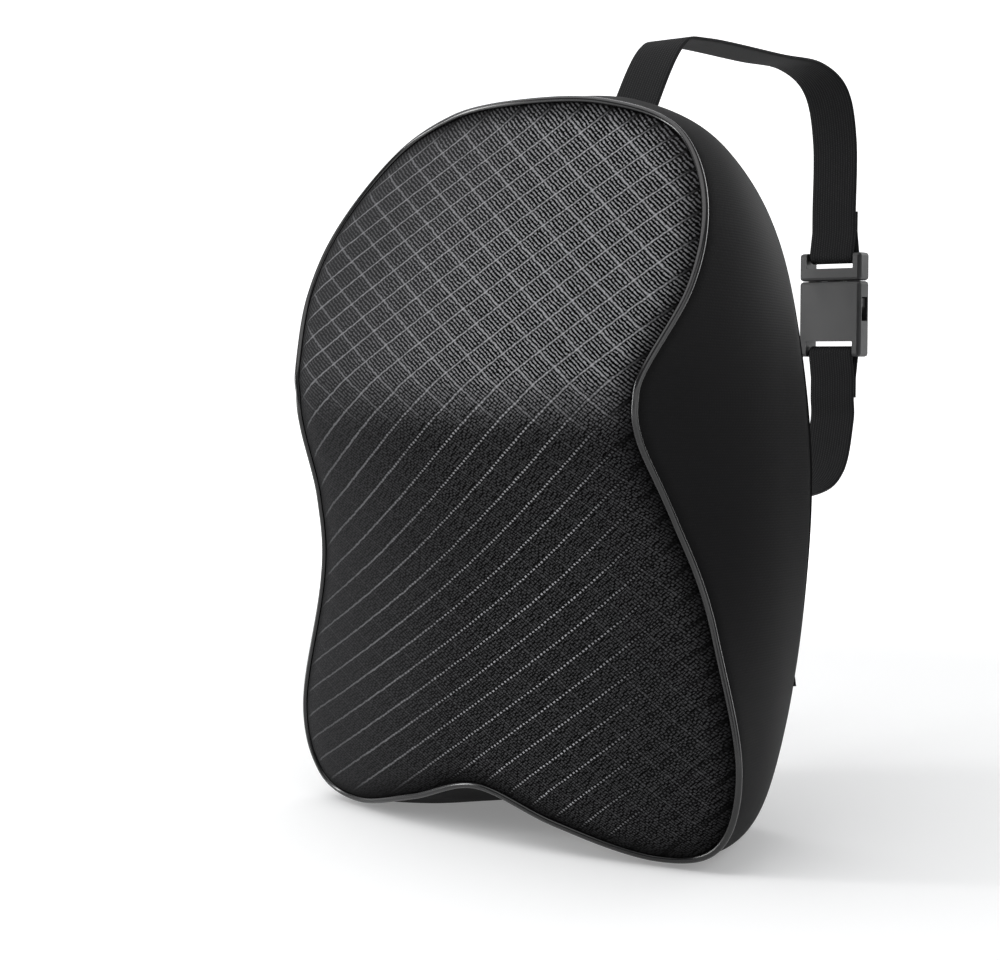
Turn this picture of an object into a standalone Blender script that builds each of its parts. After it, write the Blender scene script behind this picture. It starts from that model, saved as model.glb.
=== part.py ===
# Car headrest neck pillow: a moulded foam core in a sewn cover, with an elastic strap.
# The pillow stands on its two lower lobes. X runs across, Y from the face to the back, Z up.
# The model is drawn with Y = 0 at the piping beside the neck ridge, and is centred at the end.

import bpy
import bmesh
import numpy as np
from mathutils import Vector

# Face outline at the piping, half width and height, from the top centre to the bottom notch
FACE_OUTLINE = (
    (0.000, 0.300), (0.040, 0.297), (0.073, 0.284), (0.0945, 0.255), (0.0995, 0.222),
    (0.088, 0.181), (0.0915, 0.145), (0.104, 0.092), (0.115, 0.042), (0.106, 0.0115),
    (0.080, 0.0035), (0.038, 0.0125), (0.000, 0.023))
FACE_CORNERS = (2, 9)       # outline points where the mesh's upper and lower corners lie

# Back outline at the rear seam, read the same way
BACK_OUTLINE = (
    (0.000, 0.300), (0.030, 0.297), (0.062, 0.278), (0.084, 0.247), (0.096, 0.203),
    (0.102, 0.150), (0.099, 0.096), (0.091, 0.048), (0.078, 0.012), (0.058, 0.000),
    (0.028, 0.003), (0.000, 0.006))
BACK_CORNERS = (2, 8)

# Depth of the face at each height: recessed head rest, neck ridge, receding lower lobe
FACE_PROFILE = (
    (0.000, 0.0340), (0.012, 0.0285), (0.040, 0.0250), (0.100, 0.0278), (0.135, 0.0195),
    (0.165, 0.0060), (0.180, 0.0032), (0.195, 0.0060), (0.240, 0.0275), (0.285, 0.0545),
    (0.300, 0.0575))
FACE_CROWN = 0.014          # how far the middle of the face stands ahead of its sides
CROWN_HALF_WIDTH = 0.100
EDGE_PUFF = 0.0040          # the face swells this much away from the piping
EDGE_PUFF_REACH = 0.020

BACK_DEPTH = 0.108          # flat of the back
BACK_EDGE_DROP = 0.005
BACK_EDGE_REACH = 0.014
GUSSET_BULGE = 0.0040

FACE_FABRIC = 0.0025        # laminated face fabric
COVER_FABRIC = 0.0015
PIPING_RADIUS = 0.0014
GAP = 0.0003
CORE_SLACK = 0.0013

# Woven diamonds of the face fabric
DIAMOND_WIDTH = 0.0195
DIAMOND_HEIGHT = 0.0150
YARN_HALF_WIDTH = 0.0010
YARN_HEIGHT = 0.0004

# Zip across the back
ZIP_HEIGHT = 0.062
ZIP_LENGTH = 0.148
ZIP_SLOT = 0.009
ZIP_TAPE_WIDTH = 0.0135
ZIP_TAPE = 0.0008
ZIP_CENTRE_GAP = 0.0011
TOOTH_PITCH = 0.0040
TOOTH_LENGTH = 0.0024
TOOTH_RISE = 0.0018
STOP_LENGTH = 0.0025
SLIDER_LENGTH = 0.0100
SLIDER_WIDTH = 0.0080
SLIDER_TAPER = 0.0012
SLIDER_PLATE = 0.0010
POST_WIDTH = 0.0005
POST_LENGTH = 0.0030
BRIDGE_LENGTH = 0.0068
BRIDGE_WIDTH = 0.0024
BRIDGE_HEIGHT = 0.0034
BRIDGE_METAL = 0.0009
PULL_BAR_RADIUS = 0.0007
PULL_LENGTH = 0.0240
PULL_WIDTH = 0.0068
PULL_THICKNESS = 0.0012
PULL_TIP_SHARE = 0.7        # width of the pull's tip, as a share of its full width
PULL_WINDOW = 0.0060
PULL_HOLE_LENGTH = 0.0040
PULL_HOLE_WIDTH = 0.0020
PULL_HOLE_INSET = 0.0025

# Elastic strap and its buckle
STRAP_WIDTH = 0.025
STRAP_THICKNESS = 0.0015
STRAP_TOP = 0.338
STRAP_REAR = 0.291
STRAP_CORNER = 0.034
ARC_MIDDLE = 0.293          # a quarter arc's middle lies this share of its radius from both sides
STRAP_TAB = 0.028           # length sewn down on the back
UPPER_TAB_HEIGHT = 0.276
LOWER_TAB_HEIGHT = 0.120
STRAP_LIFT = 0.009          # the strap's lower run lies this far above its sewn end
STRAP_UNDER = LOWER_TAB_HEIGHT + STRAP_LIFT
STRAP_FOLD = 0.022          # length folded back at the buckle
FOLD_CLOSE = 0.012          # the two layers lie together this far from the buckle's bar
FOLD_GAP = 0.0004
BUCKLE_HEIGHT = 0.234       # where plug and socket meet
BUCKLE_WIDTH = 0.035
BUCKLE_THICKNESS = 0.0100
BUCKLE_ROUNDING = 0.0016
SOCKET_LENGTH = 0.038
PLUG_LENGTH = 0.014
CAVITY_WIDTH = 0.0275
CAVITY_THICKNESS = 0.0056
CAVITY_LENGTH = 0.025
BUCKLE_BAR = 0.0030
BUCKLE_SLOT = 0.0048
BUCKLE_CLEARANCE = 0.0004
WINDOW_INSET = 0.0080       # side windows of the socket, from its mouth
WINDOW_LENGTH = 0.0120
TONGUE_WIDTH = 0.0050
TONGUE_SHORTFALL = 0.0040
PRONG_THICKNESS = 0.0045
PRONG_TIP = 0.0032
CATCH_LENGTH = 0.0042
CATCH_INSET = 0.0010        # the catches stay this far inside the buckle's sides

ACROSS = 20                 # mesh divisions over the width
UPWARD = 16                 # and over the height
SIDE_SHARES = (0.0, 0.08, 0.30, 0.53, 0.77, 1.0)
CURVE_STEPS = 24            # points between two outline points
FLAT_ANGLE = 0.002          # faces closer than this, in radians, count as flat
TRIM_REACH = 0.200          # cutters that trim a whole panel run this far
CUT_REACH = 0.010           # other cutters run this far past what they cut
JOIN_DEPTH = 0.0010         # joined shapes sink this far into each other


def clear_scene():
    for old in list(bpy.data.objects):
        bpy.data.objects.remove(old, do_unlink=True)


def new_collection(name):
    group = bpy.data.collections.new(name)
    bpy.context.scene.collection.children.link(group)
    return group


def material(name, colour, roughness, metallic=0.0):
    finish = bpy.data.materials.new(name)
    finish.use_nodes = True
    shader = finish.node_tree.nodes["Principled BSDF"]
    shader.inputs["Base Color"].default_value = (*colour, 1.0)
    shader.inputs["Roughness"].default_value = roughness
    shader.inputs["Metallic"].default_value = metallic
    return finish


def add_object(name, mesh, group, finish=None):
    item = bpy.data.objects.new(name, mesh)
    group.objects.link(item)
    if finish:
        mesh.materials.append(finish)
    return item


def mesh_from(bm, name):
    bmesh.ops.recalc_face_normals(bm, faces=bm.faces)
    mesh = bpy.data.meshes.new(name)
    bm.to_mesh(mesh)
    bm.free()
    return mesh


def smooth_path(points, closed, steps=CURVE_STEPS):
    """Catmull-Rom curve through the points, as a dense list."""
    pts = np.array(points, float)
    if closed:
        pts = np.vstack([pts[-1], pts, pts[0], pts[1]])
    else:
        pts = np.vstack([2 * pts[0] - pts[1], pts, 2 * pts[-1] - pts[-2]])
    t = np.linspace(0.0, 1.0, steps, endpoint=False)[:, None]
    runs = []
    for p0, p1, p2, p3 in zip(pts, pts[1:], pts[2:], pts[3:]):
        bend = 2 * p0 - 5 * p1 + 4 * p2 - p3
        twist = 3 * p1 - p0 - 3 * p2 + p3
        runs.append(0.5 * (2 * p1 + (p2 - p0) * t + bend * t ** 2 + twist * t ** 3))
    if not closed:
        runs.append(pts[-2:-1])
    return np.vstack(runs)


def resample(path, count):
    """Points spaced evenly along an open path, ends included."""
    steps = np.hypot(*np.diff(path, axis=0).T)
    along = np.concatenate([[0.0], np.cumsum(steps)])
    wanted = np.linspace(0.0, along[-1], count + 1)
    return np.column_stack([np.interp(wanted, along, path[:, k]) for k in range(path.shape[1])])


def four_edges(half, corners):
    """Bottom, right, top and left edges of a symmetric outline, each evenly divided."""
    half = np.array(half)
    mirrored = half[1:-1][::-1] * (-1.0, 1.0)
    loop = np.vstack([half, mirrored])
    dense = smooth_path(loop, closed=True)
    size = len(dense)
    upper, lower = (corner * CURVE_STEPS for corner in corners)
    right = dense[upper:lower + 1][::-1]
    top = np.vstack([dense[size - upper:], dense[:upper + 1]])
    bottom = dense[lower:size - lower + 1][::-1]
    left = right * (-1.0, 1.0)
    return (resample(bottom, ACROSS), resample(right, UPWARD),
            resample(top, ACROSS), resample(left, UPWARD))


def ring_of(edges):
    """The outline as one closed ring, anticlockwise from the lower left corner seen from -Y."""
    bottom, right, top, left = edges
    return np.vstack([bottom[:-1], right[:-1], top[::-1][:-1], left[::-1][:-1]])


def inset_ring(ring, distance):
    ahead = np.roll(ring, -1, axis=0) - np.roll(ring, 1, axis=0)
    inward = np.column_stack([-ahead[:, 1], ahead[:, 0]])
    inward /= np.linalg.norm(inward, axis=1)[:, None]
    return ring + inward * distance


def patch(ring):
    """Grid of points that fills a ring: rows run across, from bottom to top."""
    bottom = ring[:ACROSS + 1]
    right = ring[ACROSS:ACROSS + UPWARD + 1]
    top = ring[ACROSS + UPWARD:2 * ACROSS + UPWARD + 1][::-1]
    left = np.vstack([ring[2 * ACROSS + UPWARD:], ring[:1]])[::-1]
    u = np.linspace(0.0, 1.0, ACROSS + 1)[None, :, None]
    v = np.linspace(0.0, 1.0, UPWARD + 1)[:, None, None]
    ruled = (1 - v) * bottom[None] + v * top[None] + (1 - u) * left[:, None] + u * right[:, None]
    corners = ((1 - v) * ((1 - u) * bottom[0] + u * bottom[-1])
               + v * ((1 - u) * top[0] + u * top[-1]))
    return ruled - corners


def flatten(ring, floor):
    """The ring with nothing below the floor height."""
    return np.column_stack([ring[:, 0], np.maximum(ring[:, 1], floor)])


PROFILE_PATH = smooth_path(FACE_PROFILE, closed=False)
FACE_RING = flatten(ring_of(four_edges(FACE_OUTLINE, FACE_CORNERS)), PIPING_RADIUS + GAP)
BACK_RING = flatten(ring_of(four_edges(BACK_OUTLINE, BACK_CORNERS)), 0.0)


def distance_to(ring, x, z):
    """Distance from each point to the closed ring of segments."""
    points = np.column_stack([np.ravel(x), np.ravel(z)])
    nearest = np.full(len(points), 1e9)
    for start, end in zip(ring, np.roll(ring, -1, axis=0)):
        run = end - start
        share = np.clip(((points - start) @ run) / (run @ run), 0.0, 1.0)
        gap = np.linalg.norm(points - start - share[:, None] * run, axis=1)
        nearest = np.minimum(nearest, gap)
    return nearest.reshape(np.shape(x))


def face_base(x, z):
    """Depth of the face before it swells away from its edge."""
    depth = np.interp(z, PROFILE_PATH[:, 0], PROFILE_PATH[:, 1])
    return depth - FACE_CROWN * (1.0 - (x / CROWN_HALF_WIDTH) ** 2)


def face_depth(x, z):
    near = np.clip(distance_to(FACE_RING, x, z) / EDGE_PUFF_REACH, 0.0, 1.0)
    return face_base(x, z) - EDGE_PUFF * (1.0 - (1.0 - near) ** 2)


def back_depth(x, z):
    near = np.clip(distance_to(BACK_RING, x, z) / BACK_EDGE_REACH, 0.0, 1.0)
    return BACK_DEPTH - BACK_EDGE_DROP * (1.0 - near) ** 2


def side_row(share, inset):
    """One row of the side, from the face seam (share 0) to the back seam (share 1)."""
    front_y = face_base(FACE_RING[:, 0], FACE_RING[:, 1]) + PIPING_RADIUS + GAP
    back_y = BACK_DEPTH - BACK_EDGE_DROP
    flat = (1 - share) * FACE_RING + share * BACK_RING
    flat = flatten(inset_ring(flat, -GUSSET_BULGE * np.sin(np.pi * share)), 0.0)
    flat = inset_ring(flat, inset)
    depth = (1 - share) * front_y + share * back_y
    return np.column_stack([flat[:, 0], depth, flat[:, 1]])


def add_grid(bm, points):
    """Quads over a rows by columns grid of points."""
    rows, columns = points.shape[:2]
    verts = [[bm.verts.new(points[r, c]) for c in range(columns)] for r in range(rows)]
    for r in range(rows - 1):
        for c in range(columns - 1):
            bm.faces.new((verts[r][c], verts[r][c + 1], verts[r + 1][c + 1], verts[r + 1][c]))
    return verts


def add_band(bm, rows, closed=True):
    """Quads between rings of points."""
    verts = [[bm.verts.new(p) for p in row] for row in rows]
    count = len(rows[0])
    for low, high in zip(verts, verts[1:]):
        for c in range(count if closed else count - 1):
            n = (c + 1) % count
            bm.faces.new((low[c], low[n], high[n], high[c]))
    return verts


def solidify(item, thickness, offset):
    wall = item.modifiers.new("Wall", "SOLIDIFY")
    wall.thickness = thickness
    wall.offset = offset
    wall.use_even_offset = True
    return wall


def boolean(item, cutter, operation):
    cut = item.modifiers.new(operation.title(), "BOOLEAN")
    cut.operation = operation
    cut.solver = "EXACT"
    cut.object = cutter


def hide_cutter(item):
    item.hide_render = True
    item.display_type = "WIRE"
    return item


def box(name, group, low, high, finish=None):
    """Box between two corners."""
    bm = bmesh.new()
    bmesh.ops.create_cube(bm, size=1.0)
    low, high = Vector(low), Vector(high)
    for vert in bm.verts:
        vert.co = Vector((vert.co[k] + 0.5) * (high[k] - low[k]) + low[k] for k in range(3))
    return add_object(name, mesh_from(bm, name), group, finish)


def prism(name, group, outline, y_low, y_high, finish=None):
    """Outline in the XZ plane, extruded along Y."""
    bm = bmesh.new()
    face = bm.faces.new([bm.verts.new((x, y_low, z)) for x, z in outline])
    grown = bmesh.ops.extrude_face_region(bm, geom=[face])
    moved = [v for v in grown["geom"] if isinstance(v, bmesh.types.BMVert)]
    bmesh.ops.translate(bm, verts=moved, vec=(0.0, y_high - y_low, 0.0))
    return add_object(name, mesh_from(bm, name), group, finish)


def soften(item, width, segments=2):
    bevel = item.modifiers.new("Rounded edges", "BEVEL")
    bevel.width = width
    bevel.segments = segments
    bevel.limit_method = "ANGLE"


def ribbon(name, group, path, finish):
    """Webbing that follows a path in the YZ plane."""
    bm = bmesh.new()
    half = STRAP_WIDTH / 2
    add_grid(bm, np.array([[(-half, y, z) for y, z in path], [(half, y, z) for y, z in path]]))
    strap = add_object(name, mesh_from(bm, name), group, finish)
    solidify(strap, STRAP_THICKNESS, 0.0)
    return strap


def merge_flat(item):
    """Join the small faces of the flat areas into large ones."""
    merge = item.modifiers.new("Merged flats", "DECIMATE")
    merge.decimate_type = "DISSOLVE"
    merge.angle_limit = FLAT_ANGLE


def make_core(parts, finish):
    """Foam block that fills the cover with a little slack."""
    wall = COVER_FABRIC + 2 * GAP
    sides = [side_row(share, wall) for share in SIDE_SHARES]
    front_flat = sides[0][:, (0, 2)]
    face_back = face_depth(front_flat[:, 0], front_flat[:, 1]) + FACE_FABRIC + CORE_SLACK
    sides[0][:, 1] = np.maximum(sides[0][:, 1], face_back)
    zip_room = COVER_FABRIC + 2 * ZIP_TAPE + SLIDER_PLATE + 3 * GAP
    sides[-1][:, 1] = BACK_DEPTH - BACK_EDGE_DROP - zip_room
    bm = bmesh.new()
    rings = add_band(bm, sides)
    front = patch(front_flat)
    back = patch(sides[-1][:, (0, 2)])
    front_y = face_depth(front[..., 0], front[..., 1]) + FACE_FABRIC + CORE_SLACK
    back_y = back_depth(back[..., 0], back[..., 1]) - zip_room
    add_grid(bm, np.stack([front[..., 0], front_y, front[..., 1]], axis=-1))
    add_grid(bm, np.stack([back[..., 0], back_y, back[..., 1]], axis=-1))
    weld_rims(bm, rings[0], rings[-1])
    core = add_object("foam_core", mesh_from(bm, "foam_core"), parts, finish)
    merge_flat(core)
    return core


def weld_rims(bm, front_ring, back_ring):
    """Bring the rims of the two end patches onto the side rings, then weld them."""
    rims = [v for v in bm.verts if v.is_boundary]
    for ring in (front_ring, back_ring):
        for target in ring:
            for vert in rims:
                near = abs(vert.co.x - target.co.x) + abs(vert.co.z - target.co.z) < 1e-6
                if near and abs(vert.co.y - target.co.y) < BACK_EDGE_REACH:
                    vert.co = target.co
    bmesh.ops.remove_doubles(bm, verts=bm.verts, dist=1e-6)


def diamond_sheet(name, group, finish):
    """Face fabric before trimming: a sheet whose diamonds are edged by raised yarns."""
    along = np.hypot(np.diff(PROFILE_PATH[:, 0]), np.diff(PROFILE_PATH[:, 1]))
    along = np.concatenate([[0.0], np.cumsum(along)])
    half_width = max(x for x, z in FACE_OUTLINE)
    count = 2 * int(along[-1] / DIAMOND_HEIGHT / 2 + half_width / DIAMOND_WIDTH) + 6
    bm = bmesh.new()
    bmesh.ops.create_grid(bm, x_segments=count, y_segments=count, size=count / 2)
    for vert in bm.verts:
        i, j = vert.co.x, vert.co.y
        x = (i - j) * DIAMOND_WIDTH / 2
        run = along[-1] / 2 + (i + j) * DIAMOND_HEIGHT / 2
        vert.co = (x, 0.0, run)
    reach = DIAMOND_WIDTH
    keep_x = half_width + reach
    outside = [f for f in bm.faces if abs(f.calc_center_median().x) > keep_x
               or not -reach < f.calc_center_median().z < along[-1] + reach]
    bmesh.ops.delete(bm, geom=outside, context="FACES")
    bmesh.ops.recalc_face_normals(bm, faces=bm.faces)
    if bm.faces[:][0].normal.y > 0:
        bmesh.ops.reverse_faces(bm, faces=bm.faces)
    front = list(bm.faces)
    back = bmesh.ops.duplicate(bm, geom=bm.verts[:] + bm.edges[:] + bm.faces[:])
    back_faces = [g for g in back["geom"] if isinstance(g, bmesh.types.BMFace)]
    back_verts = [g for g in back["geom"] if isinstance(g, bmesh.types.BMVert)]
    bmesh.ops.reverse_faces(bm, faces=back_faces)
    bmesh.ops.translate(bm, verts=back_verts, vec=(0.0, FACE_FABRIC, 0.0))
    rims = [e for e in bm.edges if e.is_boundary]
    bmesh.ops.bridge_loops(bm, edges=rims)
    bmesh.ops.inset_individual(bm, faces=front, thickness=YARN_HALF_WIDTH, depth=-YARN_HEIGHT)
    for vert in bm.verts:
        lift = vert.co.y
        z = np.interp(vert.co.z, along, PROFILE_PATH[:, 0])
        z += min(vert.co.z, 0.0) + max(vert.co.z - along[-1], 0.0)
        vert.co.z = z
        vert.co.y = lift + float(face_depth(np.array([vert.co.x]), np.array([z]))[0])
    return add_object(name, mesh_from(bm, name), group, finish)


def make_front_panel(parts, cutters, finish):
    panel = diamond_sheet("front_panel", parts, finish)
    outline = inset_ring(FACE_RING, PIPING_RADIUS + GAP)
    trim = hide_cutter(prism("face_trim", cutters, outline, -TRIM_REACH, BACK_DEPTH))
    boolean(panel, trim, "INTERSECT")
    return panel


def make_piping(parts, finish):
    """Cord sewn into the seam round the face."""
    curve = bpy.data.curves.new("front_piping", "CURVE")
    curve.dimensions = "3D"
    curve.bevel_depth = PIPING_RADIUS
    curve.bevel_resolution = 1
    spline = curve.splines.new("POLY")
    spline.points.add(len(FACE_RING) - 1)
    depth = face_base(FACE_RING[:, 0], FACE_RING[:, 1])
    for point, (x, z), y in zip(spline.points, FACE_RING, depth):
        point.co = (x, y, z, 1.0)
    spline.use_cyclic_u = True
    cord = bpy.data.objects.new("front_piping", curve)
    parts.objects.link(cord)
    curve.materials.append(finish)
    return cord


def make_gusset(parts, finish):
    bm = bmesh.new()
    add_band(bm, [side_row(share, 0.0) for share in SIDE_SHARES])
    bmesh.ops.recalc_face_normals(bm, faces=bm.faces)
    gusset = add_object("side_gusset", mesh_from(bm, "side_gusset"), parts, finish)
    solidify(gusset, COVER_FABRIC, -1.0)
    return gusset


def make_back_panels(parts, cutters, finish):
    """Two back panels that meet at the zip."""
    ring = inset_ring(BACK_RING, COVER_FABRIC + GAP)
    flat = patch(ring)
    depth = back_depth(flat[..., 0], flat[..., 1])
    grid = np.stack([flat[..., 0], depth, flat[..., 1]], axis=-1)
    half_slot = ZIP_LENGTH / 2
    panels = []
    for name, side in (("back_panel_upper", 1.0), ("back_panel_lower", -1.0)):
        bm = bmesh.new()
        add_grid(bm, grid)
        bmesh.ops.recalc_face_normals(bm, faces=bm.faces)
        if bm.faces[:][0].normal.y < 0:
            bmesh.ops.reverse_faces(bm, faces=bm.faces)
        mesh = bpy.data.meshes.new(name)
        bm.to_mesh(mesh)
        bm.free()
        panel = add_object(name, mesh, parts, finish)
        solidify(panel, COVER_FABRIC, -1.0)
        seam = ZIP_HEIGHT + side * GAP / 2
        far = ZIP_HEIGHT - side * 2 * TRIM_REACH
        slot = ZIP_HEIGHT + side * ZIP_SLOT / 2
        inside, outside = BACK_DEPTH / 2, BACK_DEPTH + CUT_REACH
        rest = box(name + "_rest", cutters, (-TRIM_REACH, inside, min(seam, far)),
                   (TRIM_REACH, outside, max(seam, far)))
        mouth = box(name + "_slot", cutters, (-half_slot, inside, min(slot, far)),
                    (half_slot, outside, max(slot, far)))
        for cutter in (rest, mouth):
            boolean(panel, hide_cutter(cutter), "DIFFERENCE")
        merge_flat(panel)
        panels.append(panel)
    return panels


def zip_levels():
    """Depths of the zip's layers, from the tape outward."""
    tape_out = BACK_DEPTH - COVER_FABRIC - GAP
    tape_in = tape_out - ZIP_TAPE
    tooth_in = tape_out + GAP
    tooth_out = tooth_in + TOOTH_RISE
    return tape_in, tape_out, tooth_in, tooth_out


def make_zip_side(parts, label, side, tape_finish, tooth_finish):
    tape_in, tape_out, tooth_in, tooth_out = zip_levels()
    half = ZIP_LENGTH / 2 - GAP
    inner = ZIP_HEIGHT + side * ZIP_CENTRE_GAP / 2
    outer = inner + side * ZIP_TAPE_WIDTH
    low, high = min(inner, outer), max(inner, outer)
    box("zip_tape_" + label, parts, (-half, tape_in, low), (half, tape_out, high), tape_finish)

    room = ZIP_LENGTH / 2 - STOP_LENGTH - 3 * GAP
    count = int(2 * room / TOOTH_PITCH)
    start = -count * TOOTH_PITCH / 2
    spine = inner + side * TOOTH_LENGTH
    root = inner + side * TOOTH_LENGTH * 0.6
    comb = [(start, spine)]
    for k in range(count):
        left = start + (k + 0.15) * TOOTH_PITCH
        right = start + (k + 0.85) * TOOTH_PITCH
        comb += [(left, root), (left, inner), (right, inner), (right, root)]
    comb += [(start + count * TOOTH_PITCH, spine)]
    prism("zip_teeth_" + label, parts, comb, tooth_in, tooth_out, tooth_finish)


def make_zip_stops(parts, finish):
    tooth_in, tooth_out = zip_levels()[2:]
    reach = ZIP_CENTRE_GAP / 2 + TOOTH_LENGTH
    end = ZIP_LENGTH / 2 - 2 * GAP
    for label, side in (("left", -1.0), ("right", 1.0)):
        ends = sorted((side * (end - STOP_LENGTH), side * end))
        box("zip_stop_" + label, parts, (ends[0], tooth_in, ZIP_HEIGHT - reach),
            (ends[1], tooth_out + GAP, ZIP_HEIGHT + reach), finish)


def slider_place():
    """Closed end of the zip, where the slider rests."""
    return ZIP_LENGTH / 2 - STOP_LENGTH - SLIDER_LENGTH / 2 - 4 * GAP


def pull_axis():
    top = zip_levels()[3] + GAP + SLIDER_PLATE
    return top + PULL_THICKNESS / 2 + 2 * GAP


def make_slider(parts, cutters, finish):
    """Zip slider: top plate with flanges, bottom plate, post and bridge, in one casting."""
    tape_in, tape_out, tooth_in, tooth_out = zip_levels()
    x = slider_place()
    half = SLIDER_LENGTH / 2
    wide = SLIDER_WIDTH / 2
    under = tooth_out + GAP
    top = under + SLIDER_PLATE
    narrow = wide - SLIDER_TAPER
    plan = [(x - half, ZIP_HEIGHT - narrow), (x, ZIP_HEIGHT - wide),
            (x + half, ZIP_HEIGHT - wide), (x + half, ZIP_HEIGHT + wide),
            (x, ZIP_HEIGHT + wide), (x - half, ZIP_HEIGHT + narrow)]
    slider = prism("zip_slider", parts, plan, under, top, finish)
    flange_in = ZIP_CENTRE_GAP / 2 + TOOTH_LENGTH + GAP
    pieces = []
    for side in (-1.0, 1.0):
        near = ZIP_HEIGHT + side * flange_in
        far = ZIP_HEIGHT + side * wide
        pieces.append(box("slider_flange", cutters, (x, tooth_in, min(near, far)),
                          (x + half, under + SLIDER_PLATE / 2, max(near, far))))
    bottom_out = tape_in - GAP
    bottom_in = bottom_out - SLIDER_PLATE
    pieces.append(prism("slider_bottom", cutters, plan, bottom_in, bottom_out))
    post = x + half - POST_WIDTH
    pieces.append(box("slider_post", cutters,
                      (post - POST_LENGTH, bottom_in + SLIDER_PLATE / 2, ZIP_HEIGHT - POST_WIDTH / 2),
                      (post, under + SLIDER_PLATE / 2, ZIP_HEIGHT + POST_WIDTH / 2)))
    arch = BRIDGE_LENGTH / 2
    pieces.append(box("slider_bridge", cutters,
                      (x - arch, top - SLIDER_PLATE / 2, ZIP_HEIGHT - BRIDGE_WIDTH / 2),
                      (x + arch, top + BRIDGE_HEIGHT, ZIP_HEIGHT + BRIDGE_WIDTH / 2)))
    for piece in pieces:
        boolean(slider, hide_cutter(piece), "UNION")
    eye = arch - BRIDGE_METAL
    eye = box("slider_eye", cutters, (x - eye, top, ZIP_HEIGHT - BRIDGE_WIDTH),
              (x + eye, top + BRIDGE_HEIGHT - BRIDGE_METAL, ZIP_HEIGHT + BRIDGE_WIDTH))
    boolean(slider, hide_cutter(eye), "DIFFERENCE")
    return slider


def make_pull(parts, cutters, finish):
    """Zip pull: a tab with a window, hung by its bar in the slider's bridge."""
    x, y = slider_place(), pull_axis()
    tip = x - PULL_LENGTH
    half = PULL_WIDTH / 2
    narrow = half * PULL_TIP_SHARE
    plan = [(tip, ZIP_HEIGHT - narrow), (x - PULL_WINDOW, ZIP_HEIGHT - half),
            (x + PULL_BAR_RADIUS, ZIP_HEIGHT - half), (x + PULL_BAR_RADIUS, ZIP_HEIGHT + half),
            (x - PULL_WINDOW, ZIP_HEIGHT + half), (tip, ZIP_HEIGHT + narrow)]
    pull = prism("zip_pull", parts, plan, y - PULL_THICKNESS / 2, y + PULL_THICKNESS / 2, finish)
    inside = BRIDGE_WIDTH / 2 + 2 * GAP
    window = box("pull_window", cutters, (x - PULL_WINDOW, y - CUT_REACH, ZIP_HEIGHT - inside),
                 (x - PULL_BAR_RADIUS, y + CUT_REACH, ZIP_HEIGHT + inside))
    hole_start = tip + PULL_HOLE_INSET
    hole = box("pull_hole", cutters, (hole_start, y - CUT_REACH, ZIP_HEIGHT - PULL_HOLE_WIDTH / 2),
               (hole_start + PULL_HOLE_LENGTH, y + CUT_REACH, ZIP_HEIGHT + PULL_HOLE_WIDTH / 2))
    for cutter in (window, hole):
        boolean(pull, hide_cutter(cutter), "DIFFERENCE")
    return pull


def bar_fold(bar_y, bar_z, turn):
    """Path round a buckle bar: turn is 1 where the strap comes from below, -1 from above."""
    reach = BUCKLE_BAR / 2 * np.sqrt(2.0) + GAP + STRAP_THICKNESS / 2
    angles = np.linspace(0.0, np.pi, 7)
    return [(bar_y - reach * np.cos(a), bar_z + turn * reach * np.sin(a)) for a in angles]


def buckle_bars():
    """Heights of the socket's bar and the plug's bar."""
    socket = BUCKLE_HEIGHT - SOCKET_LENGTH + BUCKLE_BAR / 2
    plug = BUCKLE_HEIGHT + GAP + PLUG_LENGTH - BUCKLE_BAR / 2
    return socket, plug


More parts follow.
